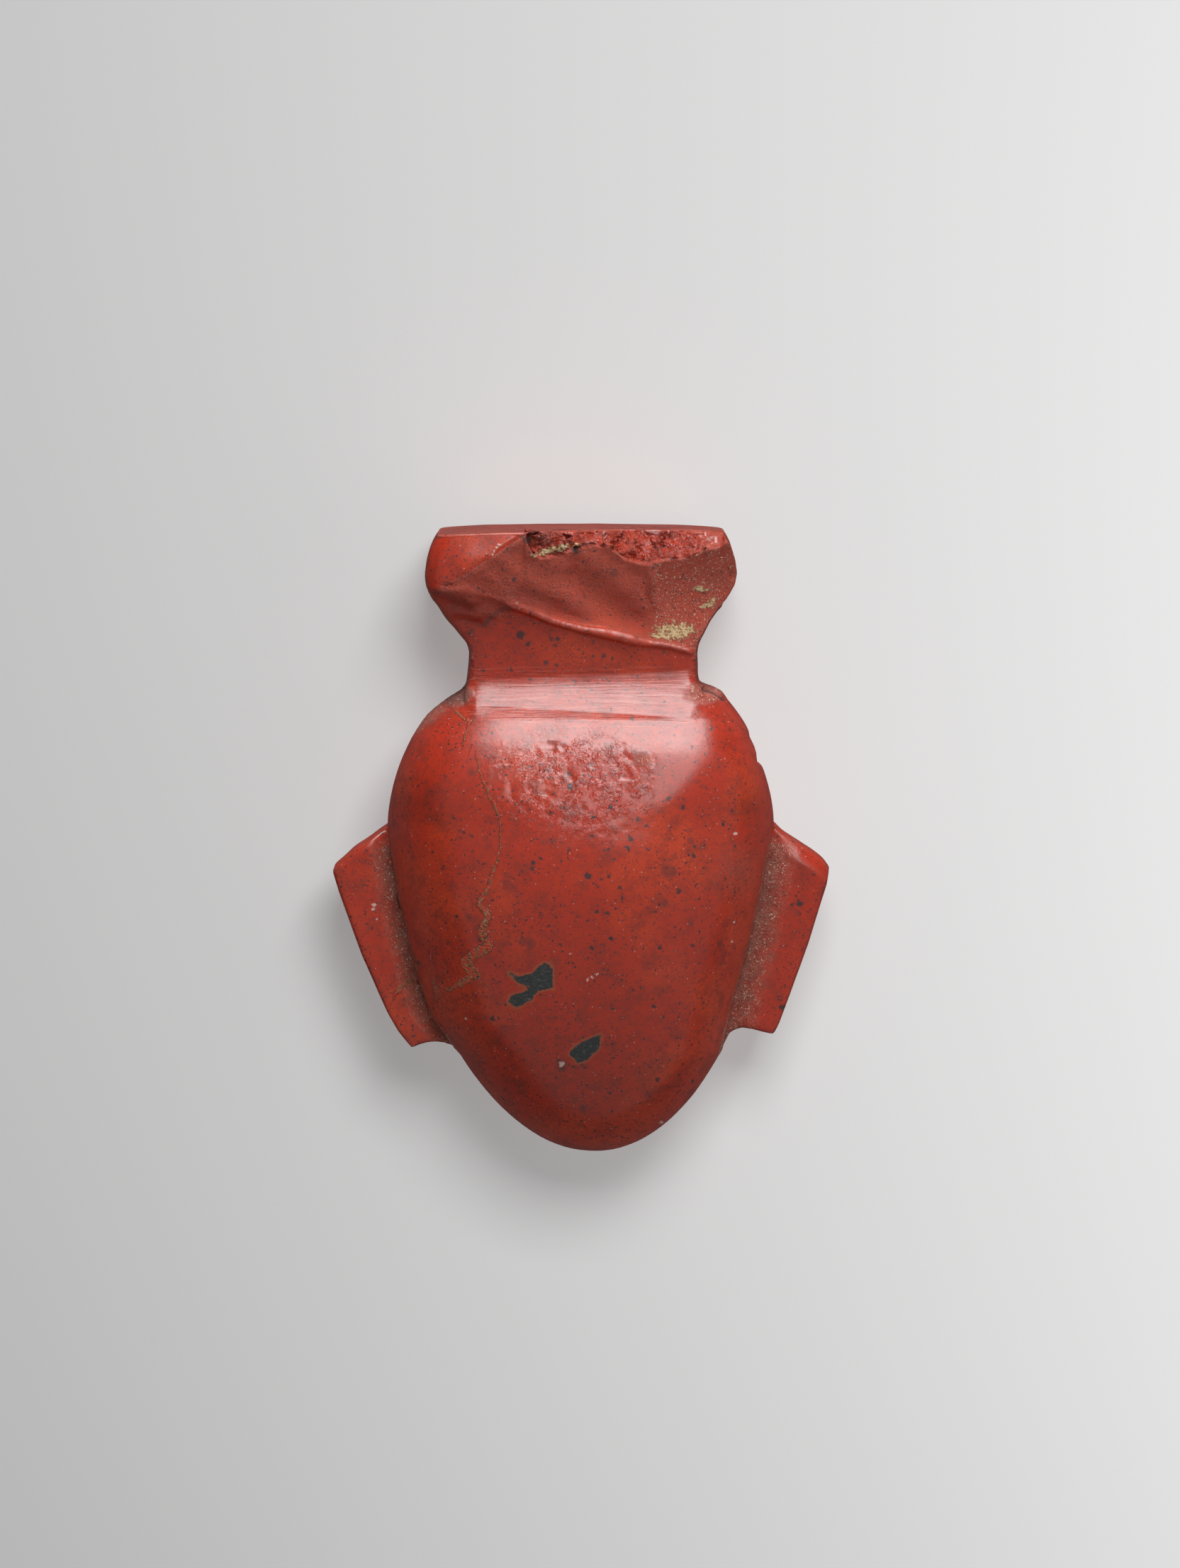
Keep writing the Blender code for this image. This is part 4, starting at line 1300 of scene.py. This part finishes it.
def jasper():
    """Red jasper: clouded red, dark and pale specks, dark pieces, a rusty vein, dirt and wear."""
    stone = Finish("worn_red_jasper")
    broken, crushed, dirt = stone.mark("broken"), stone.mark("crushed"), stone.mark("dirt")
    pitted = stone.times(stone.mark("pitted"), stone.pattern("pitting"))
    polish = stone.noise(0.5, 4.0, 0.6)
    crumbs = stone.noise(0.22, 3.0, 0.7)
    lines = stone.noise(0.16, 3.0, 0.6, stretch=SCRATCH_STRETCH)
    ragged = stone.place
    for scale, detail, amount in FRAYING:
        ragged = stone.pushed(ragged, scale, detail, amount)

    red, medium, pale = speckled(stone, clouded_red(stone, ragged), ragged)
    red = with_dark_pieces(stone, wear_and_painted_light(stone, red, lines, polish), ragged)
    red, vein = with_vein(stone, red, crumbs)
    red, crust = with_dirt_and_painted_crevice_shade(stone, red, ragged, crumbs)
    stone.put(stone.shader.inputs["Base Color"], red)

    # Each mark makes the polish duller, or on the crushed edge's fresh facets shinier
    roughness = stone.math("MULTIPLY_ADD", polish, POLISH_SPREAD, POLISH_BASE)
    for share, level in ((broken, 0.20), (crushed, -0.12), (dirt, 0.40),
                         (crust, 0.45), (vein, 0.25), (medium, 0.08),
                         (stone.mark("worn"), 0.08), (stone.mark("dulled"), 0.20)):
        roughness = stone.math("ADD", roughness, stone.times(share, level))
    stone.put(stone.shader.inputs["Roughness"], stone.math("MINIMUM", roughness, DULLEST))

    # Bump: pattern, its height in millimetres, and the mark it is kept to
    layers = ((lines, 0.004, None),
              (lines, 0.018, stone.mark("streaked")),
              (stone.noise(0.32, 3.0, 0.6), 0.04, pitted),
              (stone.chips(ragged, 0.34), 0.30, pitted),
              (stone.noise(0.24, 5.0, 0.75), 0.26, broken),
              (stone.chips(ragged, 0.9), 1.2, crushed),
              (stone.chips(stone.place, 0.42), 0.9, crushed),
              (stone.noise(0.16, 4.0, 0.7), 0.16, dirt),
              (crumbs, 0.16, vein),
              (crumbs, 0.20, crust),
              (pale, 0.008, None))
    height = stone.times(stone.noise(0.28, 3.0, 0.6), 0.008)
    for pattern, depth, share in layers:
        part = stone.times(pattern, depth)
        if share is not None:
            part = stone.times(part, share)
        height = stone.math("ADD", height, part)
    calm = stone.math("MULTIPLY_ADD", stone.mark("smooth_top"), TOP_CALM, 1.0)
    bump = stone.node("ShaderNodeBump", {"Height": stone.times(height, calm), "Distance": MM,
                                         "Strength": 1.0})
    stone.put(stone.shader.inputs["Normal"], bump.outputs["Normal"])
    stone.shader.inputs["IOR"].default_value = STONE_IOR
    return stone.material


# Floor, light and camera

# Name, place and aim in millimetres, size in metres, how bright it looks, and what it lights.
# A fill gives the stone no mirror image, and the floor's glow throws no shadow.
LIGHTS = (
    ("key_low", (66.0, 590.0, 190.0), (0.0, 0.0, 10.0), (0.29, 0.40), 5.0, "stone"),
    ("key_high", (132.0, 420.0, 520.0), (0.0, 0.0, 10.0), (0.26, 0.52), 1.85, "stone"),
    ("key_fill", (30.0, 560.0, 330.0), (0.0, 0.0, 10.0), (0.50, 0.40), 2.5, "stone"),
    ("right_fill", (650.0, -150.0, 520.0), (60.0, 0.0, 0.0), (0.8, 0.8), 0.34, "stone"),
    ("left_fill", (-380.0, 400.0, 341.0), (0.0, 0.0, 8.0), (0.72, 0.66), 0.26, "stone"),
    ("front_card", (200.0, -170.0, 900.0), (0.0, 0.0, 8.0), (4.4, 3.8), 0.14, "stone"),
    ("floor_top", (55.0, 190.0, 320.0), (0.0, 0.0, 0.0), (0.16, 0.16), 12.6, "floor"),
    ("floor_glow", (240.0, -35.0, 160.0), (0.0, 0.0, 0.0), (0.20, 0.20), 9.0, "floor"),
)
WORLD_LEVEL = 0.05
WHITE = colour(1.0, 1.0, 1.0)
FLOOR_GREY = colour(0.5, 0.5, 0.5)
FLOOR_ROUGHNESS = 0.9
FLOOR_HALF_SIZE = 1.5


def plain(name, shade, roughness):
    material = bpy.data.materials.new(name)
    material.use_nodes = True
    shader = material.node_tree.nodes["Principled BSDF"]
    shader.inputs["Base Color"].default_value = shade
    shader.inputs["Roughness"].default_value = roughness
    return material


def lay_floor():
    """A plain pale floor, which the stone doesn't mirror: that would put pale strips on its sides."""
    shape = bmesh.new()
    bmesh.ops.create_grid(shape, x_segments=2, y_segments=2, size=FLOOR_HALF_SIZE)
    floor = new_object("floor", shape)
    floor.data.materials.append(plain("pale_floor", FLOOR_GREY, FLOOR_ROUGHNESS))
    floor.visible_glossy = False
    return floor


def softbox(name, place, aim, size, radiance):
    """An area light that looks this bright, however large it is."""
    light = bpy.data.lights.new(name, "AREA")
    light.shape = "RECTANGLE"
    light.size, light.size_y = size
    light.energy = radiance * math.pi * size[0] * size[1]
    item = bpy.data.objects.new(name, light)
    item.location = Vector(place) * MM
    item.rotation_euler = (Vector(aim) - Vector(place)).to_track_quat("-Z", "Y").to_euler()
    item.visible_camera = False
    bpy.context.scene.collection.objects.link(item)
    return item


def light_scene(lit):
    """Lights, each shining on the stone or on the floor."""
    groups = {}
    for name, item in lit.items():
        groups[name] = bpy.data.collections.new(name + "_lit")
        groups[name].objects.link(item)
    for name, place, aim, size, radiance, target in LIGHTS:
        light = softbox(name, place, aim, size, radiance)
        light.light_linking.receiver_collection = groups[target]
        light.data.use_shadow = not name.endswith("_glow")
        light.visible_glossy = not name.endswith("_fill")
    world = bpy.data.worlds.new("studio")
    bpy.context.scene.world = world
    world.use_nodes = True
    background = world.node_tree.nodes["Background"]
    background.inputs["Color"].default_value = WHITE
    background.inputs["Strength"].default_value = WORLD_LEVEL


def set_camera():
    """A long lens looking down on the amulet, with the photograph's scale, place and tilt."""
    distance = LENS / SENSOR * FRAME_PIXELS[1] * MM_PER_PIXEL
    data = bpy.data.cameras.new("camera")
    data.lens = LENS
    data.sensor_width = SENSOR
    data.clip_end = FAR_CLIP
    camera = bpy.data.objects.new("camera", data)
    up = Vector((0.0, math.cos(VIEW_TILT), -math.sin(VIEW_TILT)))
    back = Vector((0.0, math.sin(VIEW_TILT), math.cos(VIEW_TILT)))
    aim = Vector((0.0, 0.0, PARTING))
    aim.x += (FRAME_PIXELS[0] / 2.0 - MIDDLE_PIXEL[0]) * MM_PER_PIXEL
    aim += up * (MIDDLE_PIXEL[1] - FRAME_PIXELS[1] / 2.0) * MM_PER_PIXEL
    camera.location = (aim + back * distance) * MM
    camera.rotation_euler = (-VIEW_TILT, 0.0, 0.0)
    bpy.context.scene.collection.objects.link(camera)
    bpy.context.scene.camera = camera
    bpy.context.scene.view_settings.view_transform = "Standard"


def main():
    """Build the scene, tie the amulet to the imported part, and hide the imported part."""
    set_camera()
    floor = lay_floor()
    amulet = make_amulet()
    light_scene({"stone": amulet, "floor": floor})
    amulet.data.materials.clear()
    amulet.data.materials.append(jasper())
    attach(amulet, "root")
    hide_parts("heart_amulet")
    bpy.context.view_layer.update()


main()
